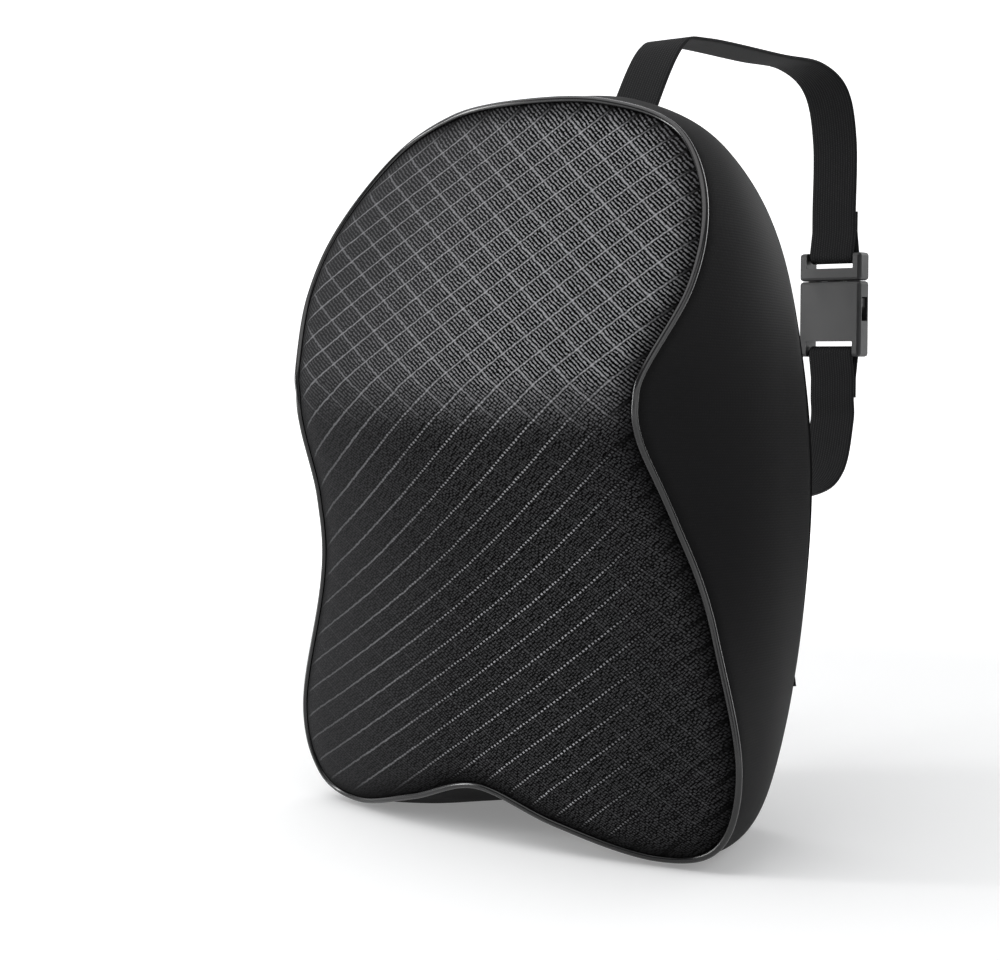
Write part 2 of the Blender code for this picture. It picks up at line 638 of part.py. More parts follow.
def make_straps(parts, finish):
    """The strap's two lengths, from the back of the pillow round to the buckle."""
    face = BACK_DEPTH + GAP + STRAP_THICKNESS / 2
    socket_bar, plug_bar = buckle_bars()
    layer = (STRAP_THICKNESS + FOLD_GAP) / 2
    corner = STRAP_CORNER
    middle = corner * ARC_MIDDLE

    leave = UPPER_TAB_HEIGHT
    tab = [(face, leave - STRAP_TAB), (face, leave - STRAP_TAB / 2)]
    over = [(face, leave), (face + 0.0014, leave + 0.009),
            (face + 0.0115, leave + 0.031), (face + 0.0300, STRAP_TOP - 0.0050),
            (face + 0.0500, STRAP_TOP), ((face + STRAP_REAR) / 2 + 0.02, STRAP_TOP),
            (STRAP_REAR - corner, STRAP_TOP), (STRAP_REAR - middle, STRAP_TOP - middle),
            (STRAP_REAR - layer, STRAP_TOP - corner), (STRAP_REAR - layer, plug_bar + STRAP_FOLD),
            (STRAP_REAR - layer, plug_bar + FOLD_CLOSE)]
    fold = bar_fold(STRAP_REAR, plug_bar, -1.0)
    tail = [(STRAP_REAR + layer, plug_bar + FOLD_CLOSE), (STRAP_REAR + layer, plug_bar + STRAP_FOLD)]
    upper = np.vstack([tab, smooth_path(over, closed=False, steps=4), fold, tail])
    ribbon("strap_upper", parts, upper, finish)

    leave = LOWER_TAB_HEIGHT
    tab = [(face, leave - STRAP_TAB), (face, leave - STRAP_TAB / 2)]
    turn = STRAP_LIFT
    inner = turn * ARC_MIDDLE
    under = [(face, leave), (face + inner, STRAP_UNDER - inner), (face + turn, STRAP_UNDER),
             (face + 2.2 * turn, STRAP_UNDER), (face + 5 * turn, STRAP_UNDER),
             ((face + STRAP_REAR) / 2, STRAP_UNDER), (STRAP_REAR - corner, STRAP_UNDER),
             (STRAP_REAR - middle, STRAP_UNDER + middle),
             (STRAP_REAR - layer, STRAP_UNDER + corner), (STRAP_REAR - layer, socket_bar - STRAP_FOLD),
             (STRAP_REAR - layer, socket_bar - FOLD_CLOSE)]
    fold = bar_fold(STRAP_REAR, socket_bar, 1.0)
    tail = [(STRAP_REAR + layer, socket_bar - FOLD_CLOSE), (STRAP_REAR + layer, socket_bar - STRAP_FOLD)]
    lower = np.vstack([tab, smooth_path(under, closed=False, steps=4), fold, tail])
    ribbon("strap_lower", parts, lower, finish)


def make_socket(parts, cutters, finish):
    """Buckle socket: a flat sleeve with side windows and a strap bar."""
    y, z = STRAP_REAR, BUCKLE_HEIGHT
    wide, thick = BUCKLE_WIDTH / 2, BUCKLE_THICKNESS / 2
    socket = box("buckle_socket", parts, (-wide, y - thick, z - SOCKET_LENGTH), (wide, y + thick, z), finish)
    soften(socket, BUCKLE_ROUNDING)
    deep = CAVITY_THICKNESS / 2
    hollow = box("socket_hollow", cutters, (-CAVITY_WIDTH / 2, y - deep, z - CAVITY_LENGTH),
                 (CAVITY_WIDTH / 2, y + deep, z + CUT_REACH))
    past = wide + CUT_REACH
    windows = box("socket_windows", cutters, (-past, y - deep, z - WINDOW_INSET - WINDOW_LENGTH),
                  (past, y + deep, z - WINDOW_INSET))
    low = z - SOCKET_LENGTH
    bar = low + BUCKLE_BAR
    half = STRAP_WIDTH / 2 + 2 * BUCKLE_CLEARANCE
    slot = box("socket_slot", cutters, (-half, y - thick - CUT_REACH, bar),
               (half, y + thick + CUT_REACH, bar + BUCKLE_SLOT))
    free_bar(socket, cutters, "socket", low - CUT_REACH, bar + JOIN_DEPTH)
    for cutter in (hollow, windows, slot):
        boolean(socket, hide_cutter(cutter), "DIFFERENCE")
    return socket


def free_bar(half_buckle, cutters, label, low, high):
    """Thin the buckle to the bar's thickness over the strap's width, front and rear."""
    half = STRAP_WIDTH / 2 + 2 * BUCKLE_CLEARANCE
    for side, name in ((-1.0, "front"), (1.0, "rear")):
        near = STRAP_REAR + side * BUCKLE_BAR / 2
        far = STRAP_REAR + side * (BUCKLE_THICKNESS / 2 + CUT_REACH)
        relief = box(label + "_relief_" + name, cutters, (-half, min(near, far), low),
                     (half, max(near, far), high))
        boolean(half_buckle, hide_cutter(relief), "DIFFERENCE")


def make_plug(parts, cutters, finish):
    """Buckle plug: strap bar, shoulder, middle tongue and two sprung prongs in one moulding."""
    y, z = STRAP_REAR, BUCKLE_HEIGHT + GAP
    wide, thick = BUCKLE_WIDTH / 2, BUCKLE_THICKNESS / 2
    plug = box("buckle_plug", parts, (-wide, y - thick, z), (wide, y + thick, z + PLUG_LENGTH), finish)
    soften(plug, BUCKLE_ROUNDING)
    flat = CAVITY_THICKNESS / 2 - BUCKLE_CLEARANCE
    deep = z - CAVITY_LENGTH + 2 * BUCKLE_CLEARANCE
    root = z + JOIN_DEPTH
    tongue = box("plug_tongue", cutters, (-TONGUE_WIDTH / 2, y - flat, deep + TONGUE_SHORTFALL),
                 (TONGUE_WIDTH / 2, y + flat, root))
    boolean(plug, hide_cutter(tongue), "UNION")
    edge = CAVITY_WIDTH / 2 - BUCKLE_CLEARANCE
    inner = edge - PRONG_THICKNESS
    catch = wide - CATCH_INSET
    shoulder = z - WINDOW_INSET - 2 * BUCKLE_CLEARANCE
    ramp = z - WINDOW_INSET - WINDOW_LENGTH + 2 * BUCKLE_CLEARANCE
    for side in (-1.0, 1.0):
        prong = [(edge, root), (edge, shoulder), (catch, shoulder), (catch, shoulder - CATCH_LENGTH),
                 (edge, ramp), (edge - PRONG_TIP, deep), (edge - 2 * PRONG_TIP, deep + TONGUE_SHORTFALL),
                 (inner, shoulder), (inner, root)]
        outline = [(side * px, pz) for px, pz in prong]
        arm = prism("plug_prong", cutters, outline, y - flat, y + flat)
        boolean(plug, hide_cutter(arm), "UNION")
    top = z + PLUG_LENGTH
    half = STRAP_WIDTH / 2 + 2 * BUCKLE_CLEARANCE
    bar = top - BUCKLE_BAR
    slot = box("plug_slot", cutters, (-half, y - thick - CUT_REACH, bar - BUCKLE_SLOT),
               (half, y + thick + CUT_REACH, bar))
    boolean(plug, hide_cutter(slot), "DIFFERENCE")
    free_bar(plug, cutters, "plug", bar - JOIN_DEPTH, top + CUT_REACH)
    return plug


def surface_points(item, depsgraph):
    """World positions of the vertices of an object as it is seen, modifiers included."""
    shape = item.evaluated_get(depsgraph)
    mesh = shape.to_mesh()
    flat = np.empty(len(mesh.vertices) * 3)
    mesh.vertices.foreach_get("co", flat)
    shape.to_mesh_clear()
    return flat.reshape(-1, 3)


def centre_on_origin(parts):
    """Stand the model on Z = 0, with the origin under the middle of its whole depth."""
    depsgraph = bpy.context.evaluated_depsgraph_get()
    points = np.vstack([surface_points(item, depsgraph) for item in parts.objects])
    low, high = points.min(axis=0), points.max(axis=0)
    base = bpy.data.objects.new("pillow_frame", None)
    bpy.context.scene.collection.objects.link(base)
    for group in bpy.data.collections:
        for item in group.objects:
            item.parent = base
    base.location = (0.0, -(low[1] + high[1]) / 2, -low[2])


def main():
    clear_scene()
    parts = new_collection("car_neck_pillow")
    cutters = new_collection("cutters")
    foam = material("memory_foam", (0.80, 0.76, 0.62), 0.95)
    face = material("face_fabric", (0.045, 0.047, 0.052), 0.85)
    cloth = material("side_fabric", (0.018, 0.019, 0.022), 0.65)
    trim = material("piping_vinyl", (0.012, 0.012, 0.013), 0.30)
    webbing = material("elastic_webbing", (0.020, 0.020, 0.022), 0.80)
    tape = material("zip_tape_cloth", (0.015, 0.015, 0.016), 0.85)
    teeth = material("zip_nylon", (0.025, 0.025, 0.027), 0.40)
    metal = material("zip_metal", (0.09, 0.09, 0.10), 0.35, 0.9)
    plastic = material("buckle_plastic", (0.020, 0.020, 0.021), 0.45)

    make_core(parts, foam)
    make_front_panel(parts, cutters, face)
    make_piping(parts, trim)
    make_gusset(parts, cloth)
    make_back_panels(parts, cutters, cloth)
    for label, side in (("upper", 1.0), ("lower", -1.0)):
        make_zip_side(parts, label, side, tape, teeth)
    make_zip_stops(parts, metal)
    make_slider(parts, cutters, metal)
    make_pull(parts, cutters, metal)
    make_straps(parts, webbing)
    make_socket(parts, cutters, plastic)
    make_plug(parts, cutters, plastic)
    centre_on_origin(parts)


main()
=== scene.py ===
# Looks of the car headrest neck pillow: woven face, piping, side cover, zipped back, strap and buckle.
# Lengths are metres. Y in the outlines below is measured from the piping beside the neck ridge, and
# SHIFT moves it to the frame.

import math

import bmesh
import bpy
import numpy as np
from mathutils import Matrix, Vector, kdtree


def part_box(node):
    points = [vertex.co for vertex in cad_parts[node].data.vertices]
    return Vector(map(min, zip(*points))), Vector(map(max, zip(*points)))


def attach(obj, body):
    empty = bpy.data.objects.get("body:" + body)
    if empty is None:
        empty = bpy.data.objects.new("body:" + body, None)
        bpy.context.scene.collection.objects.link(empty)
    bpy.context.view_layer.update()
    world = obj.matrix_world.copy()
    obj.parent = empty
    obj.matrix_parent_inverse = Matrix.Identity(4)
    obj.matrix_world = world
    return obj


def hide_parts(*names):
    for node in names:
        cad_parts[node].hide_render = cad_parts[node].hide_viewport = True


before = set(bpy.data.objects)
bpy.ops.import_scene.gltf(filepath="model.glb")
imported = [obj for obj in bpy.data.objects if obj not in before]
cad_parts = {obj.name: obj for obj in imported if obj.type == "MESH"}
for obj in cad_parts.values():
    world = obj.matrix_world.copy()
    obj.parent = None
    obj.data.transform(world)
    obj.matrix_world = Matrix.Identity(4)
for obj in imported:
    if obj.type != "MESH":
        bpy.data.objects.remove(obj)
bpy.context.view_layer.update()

# Shape of the cushion, as in the solids
FACE_OUTLINE = (
    (0.000, 0.300), (0.040, 0.297), (0.073, 0.284), (0.0945, 0.255), (0.0995, 0.222),
    (0.088, 0.181), (0.0915, 0.145), (0.104, 0.092), (0.115, 0.042), (0.106, 0.0115),
    (0.080, 0.0035), (0.038, 0.0125), (0.000, 0.023))
FACE_CORNERS = (2, 9)
BACK_OUTLINE = (
    (0.000, 0.300), (0.030, 0.297), (0.062, 0.278), (0.084, 0.247), (0.096, 0.203),
    (0.102, 0.150), (0.099, 0.096), (0.091, 0.048), (0.078, 0.012), (0.058, 0.000),
    (0.028, 0.003), (0.000, 0.006))
BACK_CORNERS = (2, 8)
FACE_PROFILE = (
    (0.000, 0.0340), (0.012, 0.0285), (0.040, 0.0250), (0.100, 0.0278), (0.135, 0.0195),
    (0.165, 0.0060), (0.180, 0.0032), (0.195, 0.0060), (0.240, 0.0275), (0.285, 0.0545),
    (0.300, 0.0575))
FACE_CROWN = 0.014
CROWN_HALF_WIDTH = 0.100
EDGE_PUFF = 0.0040
EDGE_PUFF_REACH = 0.020
BACK_DEPTH = 0.108
BACK_EDGE_DROP = 0.005
BACK_EDGE_REACH = 0.014
GUSSET_BULGE = 0.0040
PIPING_RADIUS = 0.0014
COVER_FABRIC = 0.0015
RIDGE_HEIGHT = 0.180

# Meshes: steps over the covers, the cord, the zip's mouth and the strap. The side cover's rows lie at
# shares of its depth: beside both seams, and between them from a first to a last share in a count.
FACE_ACROSS = 220
FACE_UPWARD = 250
CURVE_STEPS = 48
PIPING_STEPS = 900
PIPING_SIDES = 14
SIDE_NEAR_SEAM = (0.0, 0.004, 0.009, 0.015, 0.023, 0.034, 0.050)
SIDE_MIDDLE = (0.075, 0.925, 22)
BACK_SIDE_STEPS = 10
ZIP_MOUTH_STEPS = 90
BACK_UPPER_STEPS = 90
BACK_LOWER_STEPS = 40
LIP_ROWS = 4
STRAP_STEPS = 14
BAR_POINTS = 17

# Foam inside the cover. It is held near the seams and its back, and freed over a further distance. Each
# point of a cover is pushed by the nearest points of the foam.
FOAM_STEP = 10
FOAM_ROWS = 12
FOAM_INSET = 0.0040
FOAM_WELD = 1e-4
FOAM_VOXEL = 0.005
FOAM_HELD = 0.008
FOAM_FREE = 0.018
FOAM_PRESSURE = 6.0
FOAM_STIFFNESS = 5.0
FOAM_BENDING = 0.5
FOAM_QUALITY = 5
FOAM_FRAMES = 20
FOAM_CAP = 0.0020
PUSH_NEIGHBOURS = 8
PUSH_SOFTENING = 0.002

# Seams: the fabric rolls down to them and tucks in behind the piping. The back stays off the floor.
SEAM_ROLL = 0.0014
SEAM_ROLL_REACH = 0.0016
SEAM_TUCK = 0.0004
FACE_EDGE_INSET = 0.0004
BACK_EDGE_LIFT = 0.0003

# Woven diamonds: the rising threads stand closer than the falling ones, and the cloth is drawn
# narrower to the right and wider towards the foot (shares for each metre from the middle)
DIAMOND_HEIGHT = 0.0127
RISING_WIDTH = 0.0167
FALLING_WIDTH = 0.0191
RISING_PHASE = 0.64
FALLING_PHASE = 0.80
DRAW_ACROSS = 1.29
DRAW_UP = -0.57
RIBS_PER_DIAMOND = 8
FLECKS_PER_DIAMOND = 11
BEADS_PER_DIAMOND = 6
CELL_PUFF = 0.00015

# Zip and back
ZIP_HEIGHT = 0.062
ZIP_LENGTH = 0.148
ZIP_SLOT = 0.009
PANEL_GAP = 0.0003

# Strap and buckle. Both parts turn at the rear in an arc, whose middle lies ARC_MIDDLE of its size inside
# the corner. The upper part's rise, shoulder and level lie behind and above its sewn end or below its
# top. The lower part's run is in lifts from its sewn end.
STRAP_WIDTH = 0.025
STRAP_THICKNESS = 0.0015
STRAP_TOP = 0.338
STRAP_REAR = 0.291
STRAP_CORNER = 0.034
ARC_MIDDLE = 0.293
STRAP_TAB = 0.028
UPPER_TAB_HEIGHT = 0.276
LOWER_TAB_HEIGHT = 0.120
STRAP_LIFT = 0.009
STRAP_UNDER = LOWER_TAB_HEIGHT + STRAP_LIFT
STRAP_RISE = ((0.0, 0.0), (0.0014, 0.009), (0.0115, 0.031))
STRAP_SHOULDER = (0.0300, 0.0050)
STRAP_LEVEL = 0.0500
STRAP_MIDDLE_SHIFT = 0.02
LOWER_RUN = (1.0, 2.2, 5.0)
STRAP_FOLD = 0.022
FOLD_CLOSE = 0.012
FOLD_GAP = 0.0004
BUCKLE_HEIGHT = 0.234
SOCKET_LENGTH = 0.038
PLUG_LENGTH = 0.014
BUCKLE_BAR = 0.0030
STRAP_FACE = BACK_DEPTH + PANEL_GAP + STRAP_THICKNESS / 2
STRAP_LAYER = (STRAP_THICKNESS + FOLD_GAP) / 2

# Stitches on the sewn ends of the strap, and in rows at two distances from the zip's mouth
STITCH_PITCH = 0.0034
STITCH_LENGTH = 0.0024
STITCH_RADIUS = 0.00028
STITCH_INSET = 0.003
ZIP_STITCH_REACH = ZIP_LENGTH / 2 + 0.004
ZIP_STITCH_ROWS = (0.002, 0.0075)
BACKWARD = (0, 1, 0)

# From the outlines' own Y to the frame's
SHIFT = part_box("back_panel_upper")[1].y - BACK_DEPTH

# Camera of the photograph
CAMERA_PLACE = (0.515, -0.586 + SHIFT, 0.197)
CAMERA_YAW = 40.0
CAMERA_PITCH = 3.63
CAMERA_LENS = 71.0
CAMERA_SENSOR = 36.0

# Floor and backdrop, along the camera's view. The paper's glow grows to white between two distances.
FLOOR_START = -8.0
FLOOR_DROP = 0.0002
STAGE_DEPTH = 2.6
STAGE_HEIGHT = 3.2
STAGE_RADIUS = 0.9
STAGE_HALF_WIDTH = 6.0
STAGE_BEND_POINTS = 24
PAPER_GREY = 0.86
WHITE_FROM, WHITE_TO = 0.40, 1.10
WHITE_NEAR = 0.22

# Lamps: name, place, width and height, watts. All are turned to one target.
LAMP_TARGET = (0.0, -0.08, 0.16)
LAMPS = (
    ("overhead_softbox", (-0.25, -0.35, 1.25), (1.6, 1.4), 14.0),
    ("left_strip", (-1.15, -1.05, 0.35), (0.25, 0.9), 12.0),
    ("right_fill", (1.15, -0.55, 0.55), (0.9, 1.1), 5.0),
    ("rear_fill", (0.15, 1.40, 0.45), (0.8, 0.8), 4.5))
WORLD_COLOUR = (0.9, 0.92, 0.95, 1.0)
WORLD_STRENGTH = 0.25


def smooth_path(points, closed, steps=CURVE_STEPS):
    """Catmull-Rom curve through the points."""
    pts = np.array(points, float)
    if closed:
        pts = np.vstack([pts[-1], pts, pts[0], pts[1]])
    else:
        pts = np.vstack([2 * pts[0] - pts[1], pts, 2 * pts[-1] - pts[-2]])
    t = np.linspace(0.0, 1.0, steps, endpoint=False)[:, None]
    runs = []
    for p0, p1, p2, p3 in zip(pts, pts[1:], pts[2:], pts[3:]):
        bend = 2 * p0 - 5 * p1 + 4 * p2 - p3
        twist = 3 * p1 - p0 - 3 * p2 + p3
        runs.append(0.5 * (2 * p1 + (p2 - p0) * t + bend * t ** 2 + twist * t ** 3))
    if not closed:
        runs.append(pts[-2:-1])
    return np.vstack(runs)


def lengths_along(path):
    """Length from the start of a path to each of its points."""
    steps = np.linalg.norm(np.diff(path, axis=0), axis=1)
    return np.concatenate([[0.0], np.cumsum(steps)])


def resample(path, shares):
    """Points of an open path at the given shares of its length."""
    along = lengths_along(path)
    wanted = np.asarray(shares) * along[-1]
    return np.column_stack([np.interp(wanted, along, path[:, k]) for k in range(path.shape[1])])


def half_edges(half, corners):
    """Dense right, top and bottom edges of a symmetric outline."""
    half = np.array(half)
    loop = np.vstack([half, half[1:-1][::-1] * (-1.0, 1.0)])
    dense = smooth_path(loop, closed=True)
    upper, lower = (corner * CURVE_STEPS for corner in corners)
    right = dense[upper:lower + 1][::-1]
    top = np.vstack([dense[len(dense) - upper:], dense[:upper + 1]])
    bottom = dense[lower:len(dense) - lower + 1][::-1]
    return bottom, right, top


def ring_from(half, corners, across, upward):
    """The outline as one ring, from its lower left corner anticlockwise as seen from the face."""
    bottom, right, top = half_edges(half, corners)
    over, up = np.linspace(0, 1, across + 1), np.linspace(0, 1, upward + 1)
    bottom, right, top = resample(bottom, over), resample(right, up), resample(top, over)
    left = right * (-1.0, 1.0)
    return np.vstack([bottom[:-1], right[:-1], top[::-1][:-1], left[::-1][:-1]])


def inset_ring(ring, distance):
    """The ring moved inward by one distance, or by one for each point."""
    ahead = np.roll(ring, -1, axis=0) - np.roll(ring, 1, axis=0)
    inward = np.column_stack([-ahead[:, 1], ahead[:, 0]])
    inward /= np.linalg.norm(inward, axis=1)[:, None]
    return ring + inward * np.reshape(distance, (-1, 1))


def coons(bottom, right, top, left):
    """Grid of points between four edges: rows run across, from bottom to top."""
    u = np.linspace(0.0, 1.0, len(bottom))[None, :, None]
    v = np.linspace(0.0, 1.0, len(right))[:, None, None]
    ruled = (1 - v) * bottom[None] + v * top[None] + (1 - u) * left[:, None] + u * right[:, None]
    corners = ((1 - v) * ((1 - u) * bottom[0] + u * bottom[-1])
               + v * ((1 - u) * top[0] + u * top[-1]))
    return ruled - corners


def fill_ring(ring, across, upward):
    """Grid of points inside a ring."""
    bottom = ring[:across + 1]
    right = ring[across:across + upward + 1]
    top = ring[across + upward:2 * across + upward + 1][::-1]
    left = np.vstack([ring[2 * across + upward:], ring[:1]])[::-1]
    return coons(bottom, right, top, left)


def above_floor(ring, floor=0.0):
    """The ring, raised to the floor where it lies lower."""
    return np.column_stack([ring[:, 0], np.maximum(ring[:, 1], floor)])


FACE_SEAM = ring_from(FACE_OUTLINE, FACE_CORNERS, FACE_ACROSS, FACE_UPWARD)
FACE_SEAM = above_floor(FACE_SEAM, PIPING_RADIUS)
BACK_SEAM = above_floor(ring_from(BACK_OUTLINE, BACK_CORNERS, FACE_ACROSS, FACE_UPWARD))
PROFILE_PATH = smooth_path(FACE_PROFILE, closed=False)
PROFILE_RUN = lengths_along(PROFILE_PATH)


def distance_to(ring, points):
    """Distance from each point to the closed ring of segments."""
    flat = points.reshape(-1, 2)
    nearest = np.full(len(flat), 1e9)
    for start, end in zip(ring, np.roll(ring, -1, axis=0)):
        run = end - start
        share = np.clip(((flat - start) @ run) / (run @ run), 0.0, 1.0)
        gap = flat - start - share[:, None] * run
        nearest = np.minimum(nearest, np.hypot(gap[:, 0], gap[:, 1]))
    return nearest.reshape(points.shape[:-1])


def face_base(x, z):
    """Depth of the face without the roll at its seam."""
    depth = np.interp(z, PROFILE_PATH[:, 0], PROFILE_PATH[:, 1])
    return depth - FACE_CROWN * (1.0 - (x / CROWN_HALF_WIDTH) ** 2)


def run_up_face(z):
    """Length along the face's profile, from its middle up to a height."""
    return np.interp(z, PROFILE_PATH[:, 0], PROFILE_RUN) - PROFILE_RUN[-1] / 2


def drawn_cloth(x, run):
    """Place on the cloth, as it lay before it was drawn over the foam."""
    return x * (1.0 + DRAW_ACROSS * x), run * (1.0 + DRAW_UP * run)


def grid_faces(rows, columns, closed=False):
    """Four-sided faces of a grid of points; a closed grid joins its last column to its first."""
    across = np.arange(columns if closed else columns - 1)
    up = np.arange(rows - 1)[:, None]
    following = (across + 1) % columns
    quads = np.stack([up * columns + across, up * columns + following,
                      (up + 1) * columns + following, (up + 1) * columns + across], axis=-1)
    return quads.reshape(-1, 4)


def seam_attribute(piece, distance):
    """Store each vertex's distance from its seam, in metres; the shaders paint shade along the seam by
    it.
    """
    layer = piece.data.attributes.new("seam", "FLOAT", "POINT")
    layer.data.foreach_set("value", np.asarray(distance, float).ravel())


def add_object(name, data):
    item = bpy.data.objects.new(name, data)
    bpy.context.scene.collection.objects.link(item)
    return item


def piece_from(name, points, faces, uv=None):
    """A smooth mesh piece. uv gives each vertex its place on the cloth, in metres."""
    faces = faces.tolist() if isinstance(faces, np.ndarray) else faces
    mesh = bpy.data.meshes.new(name)
    mesh.from_pydata(np.asarray(points).reshape(-1, 3).tolist(), [], faces)
    mesh.shade_smooth()
    if uv is not None:
        layer = mesh.uv_layers.new(name="cloth")
        corners = np.empty(len(mesh.loops), dtype=np.int32)
        mesh.loops.foreach_get("vertex_index", corners)
        layer.data.foreach_set("uv", np.asarray(uv, float).reshape(-1, 2)[corners].ravel())
    return add_object(name, mesh)


def dress(piece, finish, body, slot, *nodes):
    """Give a piece its material and the body it moves with, and hide the solids it stands for."""
    piece.data.materials.clear()
    piece.data.materials.append(finish)
    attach(piece, body)
    if nodes:
        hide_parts(*nodes)
    return piece


class Shader:
    """Short way to write a material's node tree."""

    def __init__(self, name):
        self.material = bpy.data.materials.new(name)
        self.material.use_nodes = True
        self.tree = self.material.node_tree
        self.surface = self.tree.nodes["Principled BSDF"]

    def node(self, kind, inputs=None, **settings):
        made = self.tree.nodes.new(kind)
        for key, value in settings.items():
            setattr(made, key, value)
        for key, value in (inputs or {}).items():
            self.feed(made.inputs[key], value)
        return made

    def feed(self, socket, value):
        if isinstance(value, bpy.types.NodeSocket):
            self.tree.links.new(value, socket)
        else:
            socket.default_value = value

    def maths(self, operation, *values):
        made = self.node("ShaderNodeMath", operation=operation)
        for socket, value in zip(made.inputs, values):
            self.feed(socket, value)
        return made.outputs[0]

    def ramp(self, value, low, high, to_low=0.0, to_high=1.0):
        """Smooth step of a value from low to high."""
        made = self.node("ShaderNodeMapRange", interpolation_type="SMOOTHSTEP", clamp=True)
        for key, given in (("Value", value), ("From Min", low), ("From Max", high),
                           ("To Min", to_low), ("To Max", to_high)):
            self.feed(made.inputs[key], given)
        return made.outputs[0]

    def mix(self, share, first, second):
        made = self.node("ShaderNodeMix", data_type="RGBA")
        self.feed(made.inputs["Factor"], share)
        self.feed(made.inputs["A"], first)
        self.feed(made.inputs["B"], second)
        return made.outputs["Result"]

    def tones(self, share, pair):
        """Grey from the first tone of a pair to the second."""
        return self.mix(share, grey(pair[0]), grey(pair[1]))

    def lift(self, value, lowest):
        """A value of 0 to 1 raised to run from lowest to 1."""
        return self.maths("MULTIPLY_ADD", value, 1.0 - lowest, lowest)

    def centred(self, value, width):
        """A value of 0 to 1 spread over a width about zero."""
        return self.maths("MULTIPLY_ADD", value, width, -width / 2)

    def product(self, first, *others):
        for other in others:
            first = self.maths("MULTIPLY", first, other)
        return first

    def cloth(self):
        """The two cloth coordinates of a point, in metres."""
        place = self.node("ShaderNodeUVMap", uv_map="cloth")
        split = self.node("ShaderNodeSeparateXYZ", {"Vector": place.outputs[0]})
        return split.outputs[0], split.outputs[1]

    def painted_seam_shade(self, reach, darkest):
        """Painted shade along a seam: a share from darkest at the seam to 1 a reach away from it."""
        distance = self.node("ShaderNodeAttribute", attribute_name="seam").outputs["Fac"]
        return self.ramp(distance, 0.0, reach, darkest, 1.0)

    def scale(self, colour, share):
        made = self.node("ShaderNodeVectorMath", operation="SCALE")
        self.feed(made.inputs[0], colour)
        self.feed(made.inputs["Scale"], share)
        return made.outputs[0]

    def noise(self, scale, detail=3.0, roughness=0.55, vector=None):
        settings = {"Scale": scale, "Detail": detail, "Roughness": roughness}
        made = self.node("ShaderNodeTexNoise", settings)
        if vector is None:
            vector = self.node("ShaderNodeTexCoord").outputs["Object"]
        self.feed(made.inputs["Vector"], vector)
        return made.outputs["Fac"]

    def wave(self, value, per_unit):
        """Cosine wave from 0 to 1, 1 where value times per_unit is whole."""
        turn = self.maths("MULTIPLY", value, 2.0 * math.pi * per_unit)
        return self.maths("MULTIPLY_ADD", self.maths("COSINE", turn), 0.5, 0.5)

    def to_line(self, value):
        """Distance of a value to the nearest whole number."""
        part = self.maths("FRACT", self.maths("ADD", value, 0.5))
        return self.maths("ABSOLUTE", self.maths("SUBTRACT", part, 0.5))

    def bump(self, height, distance, strength=1.0, normal=None):
        settings = {"Height": height, "Distance": distance, "Strength": strength}
        made = self.node("ShaderNodeBump", settings)
        if normal is not None:
            self.feed(made.inputs["Normal"], normal)
        return made.outputs[0]

    def finish(self, **values):
        for key, value in values.items():
            self.feed(self.surface.inputs[key.replace("_", " ")], value)
        return self.material


def grey(value):
    """A faintly cool grey."""
    return (value, value, value * 1.04, 1.0)


# Weave of the face. Fades are metres on the cloth: across from its middle, or up from the neck ridge.
RIDGE_FADE = (-0.016, 0.012)
RIGHTWARD_LIGHT_FADE = (-0.085, 0.040)
GAPS_SHEEN_FADE = (-0.090, 0.010)
BEADS_FADE = (-0.060, -0.010)
RIGHT_END_FADE = (0.050, 0.095)
RIGHT_END_THREADS = 0.12
# Half widths of threads and of their dark flanks, as shares of a diamond
THREAD_EDGE = (0.018, 0.060)
CROSS_EDGE = (0.015, 0.060)
FLANK_EDGE = (0.045, 0.130)
FLANK_DARKEST = 0.10
# Tones at the left and at the right. They hold painted light: paler gaps at the left are painted sheen,
# brighter ribs and threads to the right are painted highlights, and the upper tones are brighter than
# the lower ones as painted light above the neck ridge and painted shade below it.
UPPER_GAPS = (0.022, 0.0008)
LOWER_GAPS = (0.024, 0.0008)
UPPER_RIBS = (0.055, 0.270)
LOWER_RIBS = (0.037, 0.048)
UPPER_THREADS = (0.20, 0.38)
LOWER_THREADS = (0.11, 0.48)
# Shares of the threads' tone, and how much of a bead's gap is closed above the ridge
THREAD_STRENGTH = 0.80
CROSS_STRENGTH = 0.50
CROSS_BELOW = 0.08
GAP_CLOSED = 0.75


def face_lines(shader, u, v):
    """Numbers that are whole on the rising and on the falling threads."""
    up = shader.maths("DIVIDE", v, DIAMOND_HEIGHT)
    uneven = shader.centred(shader.noise(scale=420.0, detail=2.0), width=0.10)
    falling = shader.maths("ADD", up, shader.maths("DIVIDE", u, FALLING_WIDTH))
    falling = shader.maths("ADD", shader.maths("ADD", falling, FALLING_PHASE), uneven)
    rising = shader.maths("SUBTRACT", up, shader.maths("DIVIDE", u, RISING_WIDTH))
    rising = shader.maths("ADD", shader.maths("ADD", rising, RISING_PHASE), uneven)
    return rising, falling


